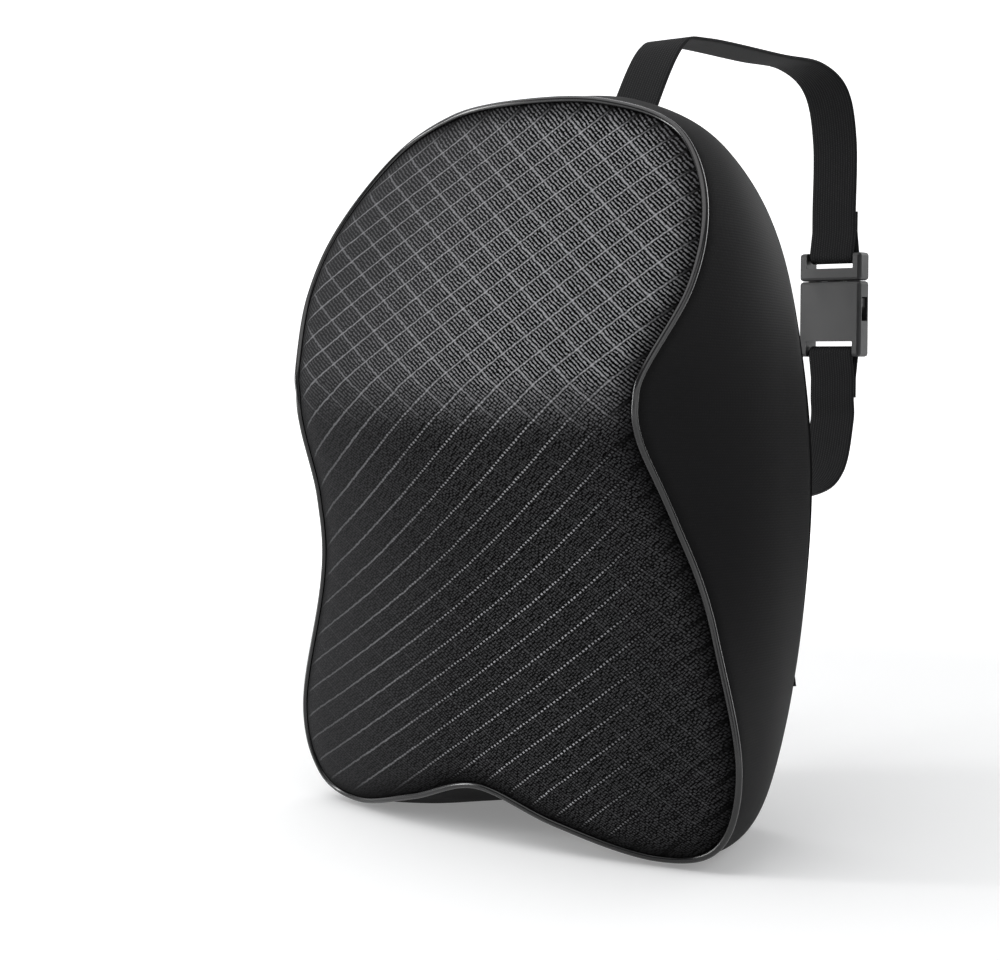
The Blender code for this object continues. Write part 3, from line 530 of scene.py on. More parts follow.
def face_weave(shader, rising, falling, upper, fuzz):
    """Ribs along the falling threads: strokes above the neck ridge, grains below it."""
    ribs = shader.wave(falling, RIBS_PER_DIAMOND)
    rib_number = shader.maths("ROUND", shader.maths("MULTIPLY", falling, RIBS_PER_DIAMOND))
    along_rib = shader.maths("MULTIPLY", rising, FLECKS_PER_DIAMOND)
    on_rib = shader.node("ShaderNodeCombineXYZ", {"X": rib_number, "Y": along_rib}).outputs[0]
    flecks = shader.ramp(shader.noise(scale=1.0, detail=1.0, vector=on_rib), low=0.36, high=0.56)
    strokes = shader.maths("ADD", shader.product(ribs, shader.lift(flecks, lowest=0.55)), fuzz)
    strokes = shader.ramp(strokes, low=0.35, high=0.80)
    grains = shader.maths("ADD", shader.product(flecks, shader.lift(ribs, lowest=0.45)), fuzz)
    grains = shader.ramp(grains, low=0.22, high=0.92)
    change = shader.maths("SUBTRACT", strokes, grains)
    return shader.maths("ADD", grains, shader.product(upper, change))


def face_threads(shader, u, near_thread, near_cross, falling, upper, fuzz):
    """How much of the rising and of the falling threads shows."""
    beaded = shader.ramp(u, *BEADS_FADE)
    faded = shader.ramp(u, *RIGHT_END_FADE, to_low=1.0, to_high=RIGHT_END_THREADS)
    bead = shader.maths("ADD", shader.wave(falling, BEADS_PER_DIAMOND), fuzz)
    gap = shader.ramp(bead, low=0.30, high=0.75, to_low=1.0, to_high=0.0)
    gap = shader.product(gap, shader.maths("MULTIPLY_ADD", upper, -GAP_CLOSED, 1.0))
    shown = shader.maths("SUBTRACT", 1.0, shader.product(beaded, gap))
    # Random wear of the threads, times painted shade that fades them out towards the seam.
    worn_and_seam_shade = shader.noise(scale=900.0, detail=2.0)
    worn_and_seam_shade = shader.ramp(worn_and_seam_shade, low=0.30, high=0.55, to_low=0.55, to_high=1.0)
    worn_and_seam_shade = shader.product(worn_and_seam_shade, shader.painted_seam_shade(reach=0.012, darkest=0.0))
    thread = shader.ramp(near_thread, *THREAD_EDGE, to_low=1.0, to_high=0.0)
    thread = shader.product(thread, shown, worn_and_seam_shade, shader.maths("MAXIMUM", faded, upper))
    cross = shader.ramp(near_cross, *CROSS_EDGE, to_low=1.0, to_high=0.0)
    cross = shader.product(cross, worn_and_seam_shade, shader.maths("MAXIMUM", upper, CROSS_BELOW))
    return thread, cross


def face_fabric():
    """Ribbed weave crossed by a diamond grid.

    The ribs follow the falling threads. Above the neck ridge they stand out, more so to the right, in
    tones of
    painted light: painted highlights to the right and painted sheen in the gaps at the left. Below it the
    colour is darker, as painted shade, and the cloth plainer, and its rising threads run solid at the
    left and as rows of beads at the right. Near the piping seam the colour and the threads fade in
    painted shade.
    """
    shader = Shader("face_fabric_weave")
    u, v = shader.cloth()
    rising, falling = face_lines(shader, u, v)
    ridge = float(drawn_cloth(0.0, run_up_face(RIDGE_HEIGHT))[1])
    upper = shader.ramp(v, ridge + RIDGE_FADE[0], ridge + RIDGE_FADE[1])
    # Painted light across the face: from painted sheen at the left to painted highlights at the right.
    rightward_painted_light = shader.ramp(u, *RIGHTWARD_LIGHT_FADE)
    fuzz = shader.centred(shader.noise(scale=2000.0, detail=3.0, roughness=0.75), width=1.2)
    near_thread, near_cross = shader.to_line(rising), shader.to_line(falling)
    thread, cross = face_threads(shader, u, near_thread, near_cross, falling, upper, fuzz)
    flank = shader.ramp(near_thread, *FLANK_EDGE, to_low=FLANK_DARKEST, to_high=1.0)
    weave = shader.product(face_weave(shader, rising, falling, upper, fuzz), flank)

    # Tones: painted light above the neck ridge and painted shade below it, mixed across by the painted
    # light from left to right.
    lower_gaps = shader.tones(shader.ramp(u, *GAPS_SHEEN_FADE), LOWER_GAPS)
    gaps = shader.mix(upper, lower_gaps, shader.tones(rightward_painted_light, UPPER_GAPS))
    ribs = shader.mix(upper, shader.tones(rightward_painted_light, LOWER_RIBS), shader.tones(rightward_painted_light, UPPER_RIBS))
    colour = shader.mix(weave, gaps, ribs)
    upper_thread = shader.tones(rightward_painted_light, UPPER_THREADS)
    threads = shader.mix(upper, shader.tones(rightward_painted_light, LOWER_THREADS), upper_thread)
    colour = shader.mix(shader.product(cross, CROSS_STRENGTH), colour, upper_thread)
    colour = shader.mix(shader.product(thread, THREAD_STRENGTH), colour, threads)
    patchy_from, patchy_by = 0.83, 0.30
    patchy = shader.noise(scale=18.0, detail=3.0)
    colour = shader.scale(colour, shader.maths("MULTIPLY_ADD", patchy, patchy_by, patchy_from))
    # Painted shade: the colour darkens towards the piping seam.
    colour = shader.scale(colour, shader.painted_seam_shade(reach=0.011, darkest=0.25))

    thread_height, weave_height = 0.6, 0.8
    weave_raised = shader.product(weave, weave_height)
    raised = shader.maths("MULTIPLY_ADD", thread, thread_height, weave_raised)
    normal = shader.bump(raised, distance=0.00030, strength=0.9)
    return shader.finish(Base_Color=colour, Roughness=0.80, Specular_IOR_Level=0.04, Normal=normal)


def side_fabric():
    """Smooth dark knit with a fine grain, darkened towards its seams by painted shade."""
    course, wale = 0.0011, 0.0009
    ground, loops, loops_shown = (0.0065, 0.0095), 0.016, 0.22
    shader = Shader("side_fabric_knit")
    u, v = shader.cloth()
    knit = shader.product(shader.wave(u, 1.0 / course), shader.wave(v, 1.0 / wale))
    patchy = shader.tones(shader.noise(scale=14.0, detail=4.0), ground)
    colour = shader.mix(shader.product(knit, loops_shown), patchy, grey(loops))
    # Painted shade: the knit darkens towards its seams.
    colour = shader.scale(colour, shader.painted_seam_shade(reach=0.008, darkest=0.45))
    normal = shader.bump(knit, distance=0.00008, strength=0.40)
    fuzz = shader.noise(scale=1800.0, detail=2.0)
    normal = shader.bump(fuzz, distance=0.00010, strength=0.35, normal=normal)
    return shader.finish(Base_Color=colour, Roughness=0.65, Specular_IOR_Level=0.06, Normal=normal)


def piping_vinyl():
    """Glossy black covering of the cord, faintly dusty."""
    shader = Shader("piping_vinyl")
    dust = shader.noise(scale=60.0, detail=3.0)
    colour = shader.tones(dust, (0.003, 0.007))
    rough = shader.ramp(dust, low=0.30, high=0.75, to_low=0.18, to_high=0.26)
    grain = shader.noise(scale=900.0, detail=4.0)
    normal = shader.bump(grain, distance=0.00003, strength=0.30)
    return shader.finish(Base_Color=colour, Roughness=rough, Specular_IOR_Level=0.50, Normal=normal)


def webbing(name, tone, rib, pick):
    """Woven elastic: lengthwise ribs crossed by fine picks, which step half a pick at each rib."""
    darker, lighter, fuzz_shown = 0.45, 1.9, 0.3
    shader = Shader(name)
    u, v = shader.cloth()
    ribs = shader.wave(u, 1.0 / rib)
    rib_number = shader.maths("ROUND", shader.maths("DIVIDE", u, rib))
    along = shader.maths("ADD", v, shader.product(rib_number, 0.5 * pick))
    weave = shader.product(ribs, shader.lift(shader.wave(along, 1.0 / pick), lowest=0.4))
    fuzz = shader.noise(scale=2200.0, detail=2.0)
    colour = shader.tones(weave, (tone * darker, tone * lighter))
    colour = shader.mix(shader.product(fuzz, fuzz_shown), colour, grey(tone))
    normal = shader.bump(weave, distance=0.00025, strength=0.8)
    return shader.finish(Base_Color=colour, Roughness=0.72, Specular_IOR_Level=0.06, Normal=normal)


def thread_finish():
    shader = Shader("sewing_thread")
    twist = shader.noise(scale=3000.0, detail=1.0)
    colour = shader.tones(twist, (0.020, 0.055))
    normal = shader.bump(twist, distance=0.0001, strength=0.5)
    return shader.finish(Base_Color=colour, Roughness=0.55, Normal=normal)


def moulded_plastic(name, tones, roughness):
    """Fine moulded grain. roughness is the smoothest and the roughest of it."""
    shader = Shader(name)
    wear = shader.noise(scale=45.0, detail=4.0)
    rough = shader.ramp(wear, low=0.3, high=0.7, to_low=roughness[0], to_high=roughness[1])
    grain = shader.noise(scale=1500.0, detail=3.0)
    normal = shader.bump(grain, distance=0.0001, strength=0.35)
    return shader.finish(Base_Color=shader.tones(wear, tones), Roughness=rough,
                         Specular_IOR_Level=0.5, Normal=normal)


def dark_metal():
    """Dark satin coating, lighter where it is scuffed."""
    coating, scuffed = (0.045, 0.045, 0.050, 1.0), (0.16, 0.16, 0.17, 1.0)
    shader = Shader("zip_metal_finish")
    scuffs = shader.noise(scale=260.0, detail=6.0)
    colour = shader.mix(shader.ramp(scuffs, low=0.55, high=0.75), coating, scuffed)
    rough = shader.ramp(scuffs, low=0.3, high=0.7, to_low=0.24, to_high=0.42)
    normal = shader.bump(scuffs, distance=0.00005, strength=0.3)
    return shader.finish(Base_Color=colour, Metallic=0.9, Roughness=rough, Normal=normal)


def foam():
    """Cream foam with open cells."""
    darker, lighter = (0.70, 0.64, 0.48, 1.0), (0.82, 0.77, 0.62, 1.0)
    shader = Shader("memory_foam_cells")
    place = shader.node("ShaderNodeTexCoord").outputs["Object"]
    pores = shader.node("ShaderNodeTexVoronoi", {"Scale": 900.0, "Vector": place}).outputs["Distance"]
    colour = shader.mix(shader.noise(scale=30.0), darker, lighter)
    normal = shader.bump(pores, distance=0.0004, strength=0.6)
    return shader.finish(Base_Color=colour, Roughness=0.95, Normal=normal)


def foam_form():
    """Closed form of the foam, a little slimmer than the block so that it can swell."""
    front, back = FACE_SEAM[::FOAM_STEP], BACK_SEAM[::FOAM_STEP]
    across, upward = FACE_ACROSS // FOAM_STEP, FACE_UPWARD // FOAM_STEP
    first, last = inset_ring(front, FOAM_INSET), inset_ring(back, FOAM_INSET)
    foam_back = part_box("foam_core")[1].y - SHIFT
    start = face_surface(fill_ring(first, across, upward))
    start[..., 1] += FOAM_INSET
    front_y = face_surface(first[None])[0, :, 1] + FOAM_INSET
    rows = []
    for share in np.linspace(0.0, 1.0, FOAM_ROWS):
        swell = GUSSET_BULGE * math.sin(math.pi * share)
        flat = inset_ring((1 - share) * first + share * last, -swell)
        flat = above_floor(flat, FOAM_INSET)
        y = (1 - share) * front_y + share * foam_back
        rows.append(np.column_stack([flat[:, 0], y, flat[:, 1]]))
    end = fill_ring(above_floor(last, FOAM_INSET), across, upward)
    end = np.stack([end[..., 0], np.full(end.shape[:2], foam_back), end[..., 1]], axis=-1)
    sheets = (start, np.array(rows), end)
    points = np.vstack([sheet.reshape(-1, 3) for sheet in sheets])
    first_of = np.cumsum([0] + [sheet.shape[0] * sheet.shape[1] for sheet in sheets])
    faces = [grid_faces(*sheet.shape[:2], closed=(k == 1)) + first_of[k]
             for k, sheet in enumerate(sheets)]
    points[:, 1] += SHIFT
    form = piece_from("foam_block", points, np.vstack(faces))
    weld(form, FOAM_WELD)
    return form


def apply_modifiers(piece):
    """Replace the piece's mesh by what its modifiers make of it now."""
    view = bpy.context.evaluated_depsgraph_get()
    made = bpy.data.meshes.new_from_object(piece.evaluated_get(view))
    piece.modifiers.clear()
    piece.data = made


def vertex_array(mesh):
    """Places of the mesh's vertices."""
    flat = np.empty(len(mesh.vertices) * 3)
    mesh.vertices.foreach_get("co", flat)
    return flat.reshape(-1, 3)


def swell_foam(foam):
    """Let the foam press outward as cloth under pressure, held along the seams and at the back."""
    remesh = foam.modifiers.new("Even mesh", "REMESH")
    remesh.mode = "VOXEL"
    remesh.voxel_size = FOAM_VOXEL
    apply_modifiers(foam)
    start = vertex_array(foam.data)
    seam_y = face_base(FACE_SEAM[:, 0], FACE_SEAM[:, 1]) + SHIFT
    seam = np.column_stack([FACE_SEAM[:, 0], seam_y, FACE_SEAM[:, 1]])[::FOAM_STEP]
    to_seam = np.min(np.linalg.norm(start[:, None] - seam[None], axis=2), axis=1)
    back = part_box("foam_core")[1].y
    free = np.minimum(np.clip((to_seam - FOAM_HELD) / FOAM_FREE, 0, 1),
                      np.clip((back - FOAM_HELD - start[:, 1]) / FOAM_FREE, 0, 1))
    held = foam.vertex_groups.new(name="held")
    for index, share in enumerate(free):
        held.add([index], 1.0 - float(share), "REPLACE")
    cloth = foam.modifiers.new("Pressure", "CLOTH")
    cloth.settings.vertex_group_mass = "held"
    cloth.settings.use_pressure = True
    cloth.settings.uniform_pressure_force = FOAM_PRESSURE
    cloth.settings.effector_weights.gravity = 0.0
    cloth.settings.quality = FOAM_QUALITY
    cloth.settings.tension_stiffness = FOAM_STIFFNESS
    cloth.settings.compression_stiffness = FOAM_STIFFNESS
    cloth.settings.bending_stiffness = FOAM_BENDING
    cloth.collision_settings.use_collision = False
    cloth.point_cache.frame_start, cloth.point_cache.frame_end = 1, FOAM_FRAMES
    scene = bpy.context.scene
    for frame_number in range(1, FOAM_FRAMES + 1):
        scene.frame_set(frame_number)
    apply_modifiers(foam)
    scene.frame_set(1)
    moved = vertex_array(foam.data) - start
    length = np.linalg.norm(moved, axis=1)
    capped = FOAM_CAP * np.tanh(length / FOAM_CAP)
    moved *= (capped / np.maximum(length, 1e-9))[:, None]
    foam.data.vertices.foreach_set("co", (start + moved).ravel())
    print("foam swells", round(float(capped.max()) * 1000, 2), "mm at most,",
          round(float(capped.mean()) * 1000, 2), "mm on average")
    return start, moved


def round_foam(foam):
    """Subdivide the foam once, so that it looks smooth."""
    smooth = foam.modifiers.new("Rounded", "SUBSURF")
    smooth.levels = smooth.render_levels = 1
    apply_modifiers(foam)
    foam.data.shade_smooth()


class Swelling:
    """How far the foam has pushed the cover at any point."""

    def __init__(self, start, moved):
        self.moved = moved
        self.tree = kdtree.KDTree(len(start))
        for index, point in enumerate(start):
            self.tree.insert(point, index)
        self.tree.balance()

    def at(self, points):
        flat = points.reshape(-1, 3)
        push = np.empty_like(flat)
        for row, point in enumerate(flat):
            near = self.tree.find_n(point, PUSH_NEIGHBOURS)
            weights = np.array([1.0 / (gap + PUSH_SOFTENING) ** 2 for _, _, gap in near])
            push[row] = weights @ self.moved[[index for _, index, _ in near]] / weights.sum()
        return push.reshape(points.shape)


def seam_roll(edge):
    """How far a cover rolls down to its seam, at a distance from it."""
    return SEAM_ROLL * np.exp(-edge / SEAM_ROLL_REACH)


def face_surface(flat):
    """Points of the face's outer side above the given places, in the outlines' own Y."""
    edge = distance_to(FACE_SEAM[::2], flat)
    near = np.clip(edge / EDGE_PUFF_REACH, 0.0, 1.0)
    depth = face_base(flat[..., 0], flat[..., 1]) - EDGE_PUFF * (1.0 - (1.0 - near) ** 2)
    depth += seam_roll(edge)
    return np.stack([flat[..., 0], depth, flat[..., 1]], axis=-1)


def make_face_cover(finish, swelling):
    """Face fabric over the foam, rolled down to the piping all round."""
    across, upward = FACE_ACROSS, FACE_UPWARD
    flat = fill_ring(inset_ring(FACE_SEAM, FACE_EDGE_INSET), across, upward)
    points = face_surface(flat)
    across_cloth, up_cloth = drawn_cloth(flat[..., 0], run_up_face(flat[..., 1]))
    falling = up_cloth / DIAMOND_HEIGHT + across_cloth / FALLING_WIDTH + FALLING_PHASE
    rising = up_cloth / DIAMOND_HEIGHT - across_cloth / RISING_WIDTH + RISING_PHASE
    cell = np.abs(np.sin(math.pi * falling) * np.sin(math.pi * rising))
    points[..., 1] += SHIFT - CELL_PUFF * np.sqrt(cell)
    points += swelling.at(points)
    uv = np.stack([across_cloth, up_cloth], axis=-1)
    piece = piece_from("face_cover", points, grid_faces(upward + 1, across + 1), uv)
    seam_attribute(piece, distance_to(FACE_SEAM[::2], flat))
    return dress(piece, finish, "pillow", "face_fabric", "front_panel")


def make_piping_cord(finish):
    """Covered cord that stands in the face seam."""
    shares = np.linspace(0, 1, PIPING_STEPS + 1)
    ring = resample(np.vstack([FACE_SEAM, FACE_SEAM[:1]]), shares)[:-1]
    centre = np.column_stack([ring[:, 0], face_base(ring[:, 0], ring[:, 1]) + SHIFT, ring[:, 1]])
    ahead = np.roll(centre, -1, axis=0) - np.roll(centre, 1, axis=0)
    ahead /= np.linalg.norm(ahead, axis=1)[:, None]
    outward = np.column_stack([ahead[:, 2], np.zeros(len(ring)), -ahead[:, 0]])
    outward /= np.linalg.norm(outward, axis=1)[:, None]
    forward = np.cross(outward, ahead)
    rows = []
    for turn in np.linspace(0, 2 * math.pi, PIPING_SIDES, endpoint=False):
        rows.append(centre + PIPING_RADIUS * (math.cos(turn) * outward + math.sin(turn) * forward))
    rows = np.array(rows + rows[:1])
    piece = piece_from("piping_cord", rows, grid_faces(PIPING_SIDES + 1, len(ring), closed=True))
    weld(piece)
    return dress(piece, finish, "pillow", "piping_vinyl", "front_piping")


def weld(piece, reach=1e-6):
    """Join vertices that lie together, and turn the faces outward."""
    bm = bmesh.new()
    bm.from_mesh(piece.data)
    bmesh.ops.remove_doubles(bm, verts=bm.verts, dist=reach)
    bmesh.ops.recalc_face_normals(bm, faces=bm.faces)
    bm.to_mesh(piece.data)
    bm.free()


def make_side_cover(finish, swelling):
    """Side cover between the face seam and the back seam."""
    near_seam = np.array(SIDE_NEAR_SEAM)
    shares = np.concatenate([near_seam, np.linspace(*SIDE_MIDDLE), 1.0 - near_seam[::-1]])
    front_y = face_base(FACE_SEAM[:, 0], FACE_SEAM[:, 1]) + SEAM_TUCK
    back_y = BACK_DEPTH - BACK_EDGE_DROP
    span = back_y - front_y
    rows, uv, seam = [], [], []
    around = lengths_along(np.vstack([FACE_SEAM, FACE_SEAM[:1]]))[:-1]
    for share in shares:
        to_seam = np.minimum(share, 1.0 - share) * span
        swell = GUSSET_BULGE * math.sin(math.pi * share) - seam_roll(to_seam)
        flat = (1 - share) * FACE_SEAM + share * BACK_SEAM
        flat = above_floor(inset_ring(flat, -swell))
        y = (1 - share) * front_y + share * back_y + SHIFT
        rows.append(np.column_stack([flat[:, 0], y, flat[:, 1]]))
        uv.append(np.column_stack([around, share * span]))
        seam.append(to_seam)
    rows = np.array(rows)
    rows += swelling.at(rows)
    rows[..., 2] = np.maximum(rows[..., 2], 0.0)
    faces = grid_faces(len(shares), len(FACE_SEAM), closed=True)
    piece = piece_from("side_cover", rows, faces, np.array(uv))
    seam_attribute(piece, seam)
    return dress(piece, finish, "pillow", "side_fabric", "side_gusset")


def back_surface(flat):
    """Points of the back's outer side at the given places, in the frame."""
    edge = distance_to(BACK_SEAM[::2], flat)
    near = np.clip(edge / BACK_EDGE_REACH, 0.0, 1.0)
    depth = BACK_DEPTH - BACK_EDGE_DROP * (1.0 - near) ** 2 - seam_roll(edge)
    return np.stack([flat[..., 0], depth + SHIFT, flat[..., 1]], axis=-1)


def outline_width(side, height):
    """Half width of the back at a height, from its dense right edge."""
    return float(np.interp(height, side[:, 1], side[:, 0]))


def make_back_cover(name, upper, finish, node):
    """One back panel, with a mouth for the zip along its edge and a lip at both ends of the mouth."""
    bottom, right, top = half_edges(BACK_OUTLINE, BACK_CORNERS)
    direction = 1.0 if upper else -1.0
    mouth = ZIP_HEIGHT + direction * ZIP_SLOT / 2
    seam = ZIP_HEIGHT + direction * PANEL_GAP / 2
    wide = outline_width(right, mouth)
    half_mouth = ZIP_LENGTH / 2
    up_steps = BACK_UPPER_STEPS if upper else BACK_LOWER_STEPS
    inner = np.linspace(-half_mouth, half_mouth, ZIP_MOUTH_STEPS + 1)
    beside = np.linspace(half_mouth, wide, BACK_SIDE_STEPS + 1)
    outer = beside[1:]
    across = np.concatenate([-outer[::-1], inner, outer])
    shares = (across + wide) / (2 * wide)
    straight = np.column_stack([across, np.full(len(across), mouth)])
    ups = np.linspace(0, 1, up_steps + 1)
    kept = right[right[:, 1] > mouth] if upper else right[right[:, 1] < mouth]
    if upper:
        side = resample(np.vstack([[wide, mouth], kept]), ups)
        flat = coons(straight, side, resample(top, shares), side * (-1.0, 1.0))
    else:
        side = resample(np.vstack([kept, [wide, mouth]]), ups)
        flat = coons(resample(above_floor(bottom), shares), side, straight, side * (-1.0, 1.0))
    flat[..., 1] = np.maximum(flat[..., 1], BACK_EDGE_LIFT)
    points = [back_surface(flat)]
    faces = [grid_faces(up_steps + 1, len(across))]
    count = points[0].shape[0] * points[0].shape[1]
    low, high = min(seam, mouth), max(seam, mouth)
    for sign in (-1.0, 1.0):
        lip = np.array([[(sign * x, z) for x in beside] for z in np.linspace(low, high, LIP_ROWS)])
        points.append(back_surface(lip))
        faces.append(grid_faces(LIP_ROWS, len(beside)) + count)
        count += lip.shape[0] * lip.shape[1]
    points = np.vstack([p.reshape(-1, 3) for p in points])
    piece = piece_from(name, points, np.vstack(faces), points[:, [0, 2]])
    seam_attribute(piece, distance_to(BACK_SEAM[::2], points[:, [0, 2]]))
    weld(piece)
    thicken(piece, COVER_FABRIC)
    return dress(piece, finish, "pillow", "side_fabric", node)


def thicken(piece, thickness):
    """Give a back panel its thickness, inward."""
    if sum(face.normal.y for face in piece.data.polygons) < 0:
        piece.data.flip_normals()
    wall = piece.modifiers.new("Wall", "SOLIDIFY")
    wall.thickness = thickness
    wall.offset = -1.0
    wall.use_even_offset = True


def bar_fold(bar_y, bar_z, upward):
    """Half turn of the strap round a square bar of the buckle."""
    reach = BUCKLE_BAR / 2 * math.sqrt(2.0) + PANEL_GAP + STRAP_THICKNESS / 2
    angles = np.linspace(0.0, math.pi, BAR_POINTS)
    return [(bar_y - reach * math.cos(a), bar_z + upward * reach * math.sin(a)) for a in angles]


def strap_path(leave, run, level, bar, upward):
    """Middle line of one part of the strap, in the YZ plane.

    Its tab is sewn to the back below leave. It follows its run to the rear corner at its level, goes up
    or down to the buckle's bar, turns round it and ends on itself.
    """
    corner, middle = STRAP_CORNER, STRAP_CORNER * ARC_MIDDLE
    front, rear = STRAP_REAR - STRAP_LAYER, STRAP_REAR + STRAP_LAYER
    fold, close = bar - upward * STRAP_FOLD, bar - upward * FOLD_CLOSE
    tab = [(STRAP_FACE, leave - STRAP_TAB), (STRAP_FACE, leave - STRAP_TAB / 2)]
    turn = [(STRAP_REAR - corner, level), (STRAP_REAR - middle, level + upward * middle),
            (front, level + upward * corner), (front, fold), (front, close)]
    curve = smooth_path(run + turn, closed=False, steps=STRAP_STEPS)
    return np.vstack([tab, curve, bar_fold(STRAP_REAR, bar, upward), [(rear, close), (rear, fold)]])


def upper_strap_path():
    bar = BUCKLE_HEIGHT + PANEL_GAP + PLUG_LENGTH - BUCKLE_BAR / 2
    shoulder_y, shoulder_drop = STRAP_SHOULDER
    over = [(STRAP_FACE + y, UPPER_TAB_HEIGHT + z) for y, z in STRAP_RISE]
    over += [(STRAP_FACE + shoulder_y, STRAP_TOP - shoulder_drop),
             (STRAP_FACE + STRAP_LEVEL, STRAP_TOP),
             ((STRAP_FACE + STRAP_REAR) / 2 + STRAP_MIDDLE_SHIFT, STRAP_TOP)]
    return strap_path(UPPER_TAB_HEIGHT, over, STRAP_TOP, bar, -1.0)


def lower_strap_path():
    bar = BUCKLE_HEIGHT - SOCKET_LENGTH + BUCKLE_BAR / 2
    turn = STRAP_LIFT
    inner = turn * ARC_MIDDLE
    under = [(STRAP_FACE, LOWER_TAB_HEIGHT), (STRAP_FACE + inner, STRAP_UNDER - inner)]
    under += [(STRAP_FACE + far * turn, STRAP_UNDER) for far in LOWER_RUN]
    under += [((STRAP_FACE + STRAP_REAR) / 2, STRAP_UNDER)]
    return strap_path(LOWER_TAB_HEIGHT, under, STRAP_UNDER, bar, 1.0)


def strap_section():
    """Cross-section of the webbing, with rounded edges."""
    half, thick = STRAP_WIDTH / 2, STRAP_THICKNESS / 2
    edge_points, flat_points = 7, 9
    angles = np.linspace(0, math.pi, edge_points)
    arc = [(half - thick + thick * math.sin(a), thick * math.cos(a)) for a in angles]
    flat = [(x, thick) for x in np.linspace(-half + thick, half - thick, flat_points)[1:-1]]
    right = flat + arc
    return np.array(right + [(-x, -y) for x, y in right])


def make_strap(name, path, finish, node):
    """Webbing swept along its path in the YZ plane."""
    ahead = np.gradient(path, axis=0)
    ahead /= np.linalg.norm(ahead, axis=1)[:, None]
    normal = np.column_stack([-ahead[:, 1], ahead[:, 0]])
    section = strap_section()
    rows = np.array([[(x, y + t * n[0] + SHIFT, z + t * n[1]) for x, t in section]
                     for (y, z), n in zip(path, normal)])
    along = lengths_along(path)
    uv = np.array([[(x, run) for x, t in section] for run in along])
    columns = len(section)
    faces = [tuple(face) for face in grid_faces(len(path), columns, closed=True)]
    faces.append(tuple(range(columns)))
    faces.append(tuple(range(len(path) * columns - 1, (len(path) - 1) * columns - 1, -1)))
    piece = piece_from(name, rows, faces, uv)
    weld(piece)
    return dress(piece, finish, "pillow", "elastic_webbing", node)


def stitch_row(bm, start, end, out):
    """Stitches from start to end, each a low rounded bump of thread; out points off the cloth."""
    start, end, out = Vector(start), Vector(end), Vector(out)
    run = end - start
    count = max(1, round(run.length / STITCH_PITCH))
    ahead = run.normalized()
    side = ahead.cross(out)
    for k in range(count):
        middle = start + run * ((k + 0.5) / count)
        made = bmesh.ops.create_uvsphere(bm, u_segments=6, v_segments=5, radius=1.0)
        for vert in made["verts"]:
            local = vert.co.copy()
            vert.co = (middle + ahead * (local.z * STITCH_LENGTH / 2) + side * (local.x * STITCH_RADIUS)
                       + out * (local.y * STITCH_RADIUS))


def stitches_piece(name, rows, finish, slot):
    bm = bmesh.new()
    for start, end, out in rows:
        stitch_row(bm, start, end, out)
    mesh = bpy.data.meshes.new(name)
    bm.to_mesh(mesh)
    bm.free()
    mesh.shade_smooth()
    return dress(add_object(name, mesh), finish, "pillow", slot)


def crossed_box(half_width, low, high, y):
    """Box of stitches with a cross inside, on a plane at y that faces the back."""
    corners = [(x, y, z) for x, z in ((-half_width, low), (half_width, low),
                                      (half_width, high), (-half_width, high))]
    lines = list(zip(corners, corners[1:] + corners[:1]))
    lines += [(corners[0], corners[2]), (corners[1], corners[3])]
    return [(start, end, BACKWARD) for start, end in lines]


def make_stitching(finish):
    """Crossed boxes on the strap's sewn ends, and two rows above and below the zip."""
    on_strap = BACK_DEPTH + PANEL_GAP + STRAP_THICKNESS + SHIFT
    half_box = STRAP_WIDTH / 2 - STITCH_INSET
    for label, leave in (("upper", UPPER_TAB_HEIGHT), ("lower", LOWER_TAB_HEIGHT)):
        low, high = leave - STRAP_TAB + STITCH_INSET, leave - STITCH_INSET
        rows = crossed_box(half_box, low, high, on_strap)
        stitches_piece("strap_stitches_" + label, rows, finish, "elastic_webbing")
    on_panel = BACK_DEPTH + SHIFT
    for label, side in (("upper", 1.0), ("lower", -1.0)):
        rows = []
        for offset in ZIP_STITCH_ROWS:
            z = ZIP_HEIGHT + side * (ZIP_SLOT / 2 + offset)
            rows.append(((-ZIP_STITCH_REACH, on_panel, z), (ZIP_STITCH_REACH, on_panel, z), BACKWARD))
        stitches_piece("zip_stitches_" + label, rows, finish, "side_fabric")


def finish_node(name, finish):
    """Give a carried-over solid its material."""
    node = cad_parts[name]
    node.data.materials.clear()
    node.data.materials.append(finish)


def floor_finish():
    """Paper that shows white in the picture and in reflections, but keeps the pillow's shadow."""
    shader = Shader("studio_paper")
    rays = shader.node("ShaderNodeLightPath").outputs
    seen = shader.maths("MAXIMUM", rays["Is Camera Ray"], rays["Is Glossy Ray"])
    seen = shader.maths("MAXIMUM", seen, rays["Is Transmission Ray"])
    place = shader.node("ShaderNodeNewGeometry").outputs["Position"]
    distance = shader.node("ShaderNodeVectorMath", {0: place}, operation="LENGTH").outputs["Value"]
    white = shader.ramp(distance, WHITE_FROM, WHITE_TO, WHITE_NEAR, 1.0)
    paper = (PAPER_GREY, PAPER_GREY, PAPER_GREY, 1.0)
    shader.finish(Base_Color=paper, Roughness=0.9, Specular_IOR_Level=0.1)
    glow = shader.product(seen, white)
    return shader.finish(Emission_Color=(1.0, 1.0, 1.0, 1.0), Emission_Strength=glow)


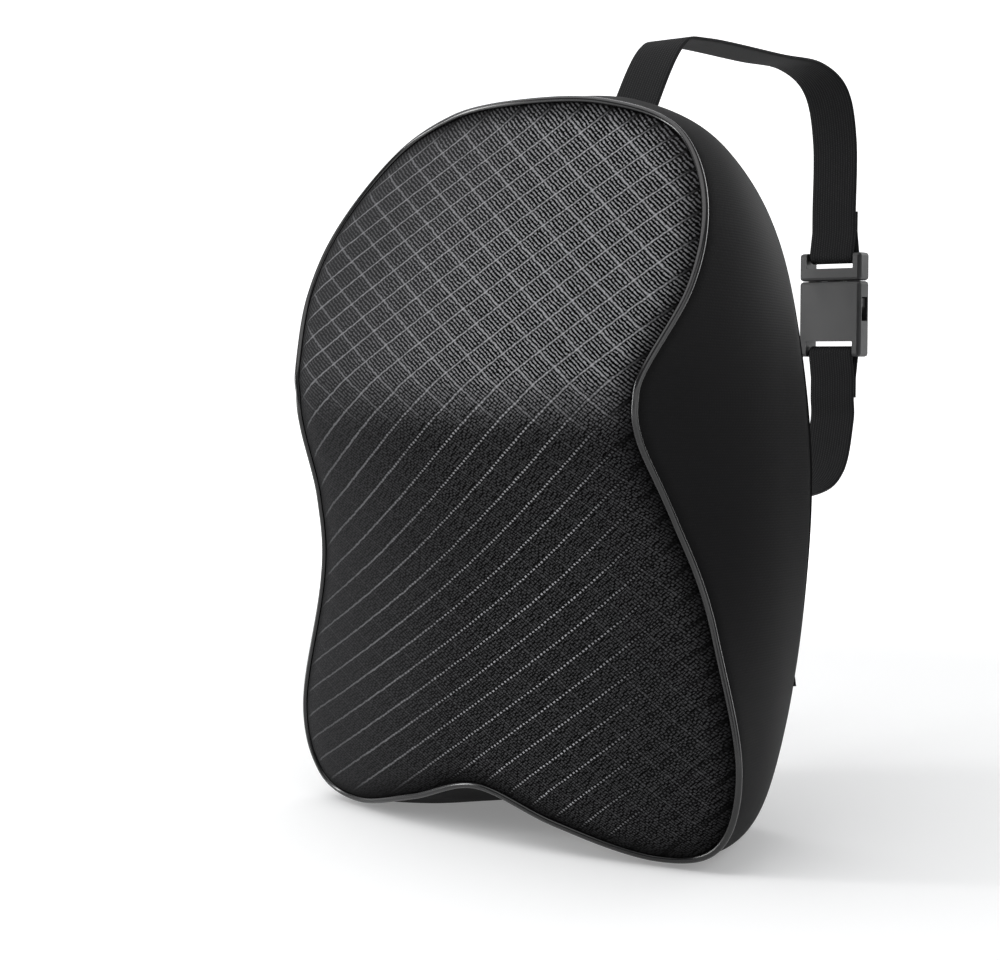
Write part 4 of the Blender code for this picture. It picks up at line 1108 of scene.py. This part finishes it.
def make_stage():
    """Pale floor that curves up into a backdrop behind the pillow."""
    depth, radius = STAGE_DEPTH, STAGE_RADIUS
    turn = np.linspace(0, math.pi / 2, STAGE_BEND_POINTS)
    profile = [(FLOOR_START, 0.0)]
    profile += [(depth - radius + radius * math.sin(a), radius - radius * math.cos(a)) for a in turn]
    profile += [(depth, STAGE_HEIGHT)]
    view = math.radians(CAMERA_YAW)
    along = np.array([-math.sin(view), math.cos(view)])
    across = np.array([math.cos(view), math.sin(view)])
    rows = []
    for run, z in profile:
        sides = [along * run + across * side for side in (-STAGE_HALF_WIDTH, STAGE_HALF_WIDTH)]
        rows.append([(x, y, z - FLOOR_DROP) for x, y in sides])
    piece = piece_from("studio_floor", np.array(rows), grid_faces(len(profile), 2))
    piece.data.materials.append(floor_finish())


def make_camera():
    camera = bpy.data.cameras.new("photo_view")
    camera.lens = CAMERA_LENS
    camera.sensor_fit = "HORIZONTAL"
    camera.sensor_width = CAMERA_SENSOR
    item = add_object("photo_view", camera)
    item.location = CAMERA_PLACE
    item.rotation_euler = (math.radians(90.0 - CAMERA_PITCH), 0.0, math.radians(CAMERA_YAW))
    bpy.context.scene.camera = item


def make_lights():
    for name, place, size, power in LAMPS:
        lamp = bpy.data.lights.new(name, "AREA")
        lamp.shape = "RECTANGLE"
        lamp.size, lamp.size_y = size
        lamp.energy = power
        item = add_object(name, lamp)
        item.location = place
        toward = Vector(LAMP_TARGET) - Vector(place)
        item.rotation_euler = toward.to_track_quat("-Z", "Y").to_euler()
    world = bpy.data.worlds.new("studio")
    world.use_nodes = True
    background = world.node_tree.nodes["Background"]
    background.inputs["Color"].default_value = WORLD_COLOUR
    background.inputs["Strength"].default_value = WORLD_STRENGTH
    bpy.context.scene.world = world
    bpy.context.scene.view_settings.view_transform = "Standard"


def main():
    make_camera()
    make_lights()
    make_stage()
    side = side_fabric()
    thread = thread_finish()
    strap_cloth = webbing("elastic_webbing_weave", tone=0.016, rib=0.0014, pick=0.0011)
    tape_cloth = webbing("zip_tape_weave", tone=0.010, rib=0.0009, pick=0.0008)
    metal = dark_metal()
    plastic = moulded_plastic("buckle_plastic_grain", tones=(0.009, 0.016), roughness=(0.36, 0.50))
    nylon = moulded_plastic("zip_nylon_satin", tones=(0.016, 0.026), roughness=(0.28, 0.42))

    foam_block = foam_form()
    swelling = Swelling(*swell_foam(foam_block))
    round_foam(foam_block)
    dress(foam_block, foam(), "pillow", "memory_foam", "foam_core")
    make_face_cover(face_fabric(), swelling)
    make_piping_cord(piping_vinyl())
    make_side_cover(side, swelling)
    for name, upper, node in (("back_cover_upper", True, "back_panel_upper"),
                              ("back_cover_lower", False, "back_panel_lower")):
        make_back_cover(name, upper, side, node)
    make_strap("strap_upper_webbing", upper_strap_path(), strap_cloth, "strap_upper")
    make_strap("strap_lower_webbing", lower_strap_path(), strap_cloth, "strap_lower")
    make_stitching(thread)

    for finish, names in ((tape_cloth, ("zip_tape_upper", "zip_tape_lower")),
                          (nylon, ("zip_teeth_upper", "zip_teeth_lower")),
                          (metal, ("zip_stop_left", "zip_stop_right", "zip_slider", "zip_pull")),
                          (plastic, ("buckle_socket", "buckle_plug"))):
        for name in names:
            finish_node(name, finish)


main()
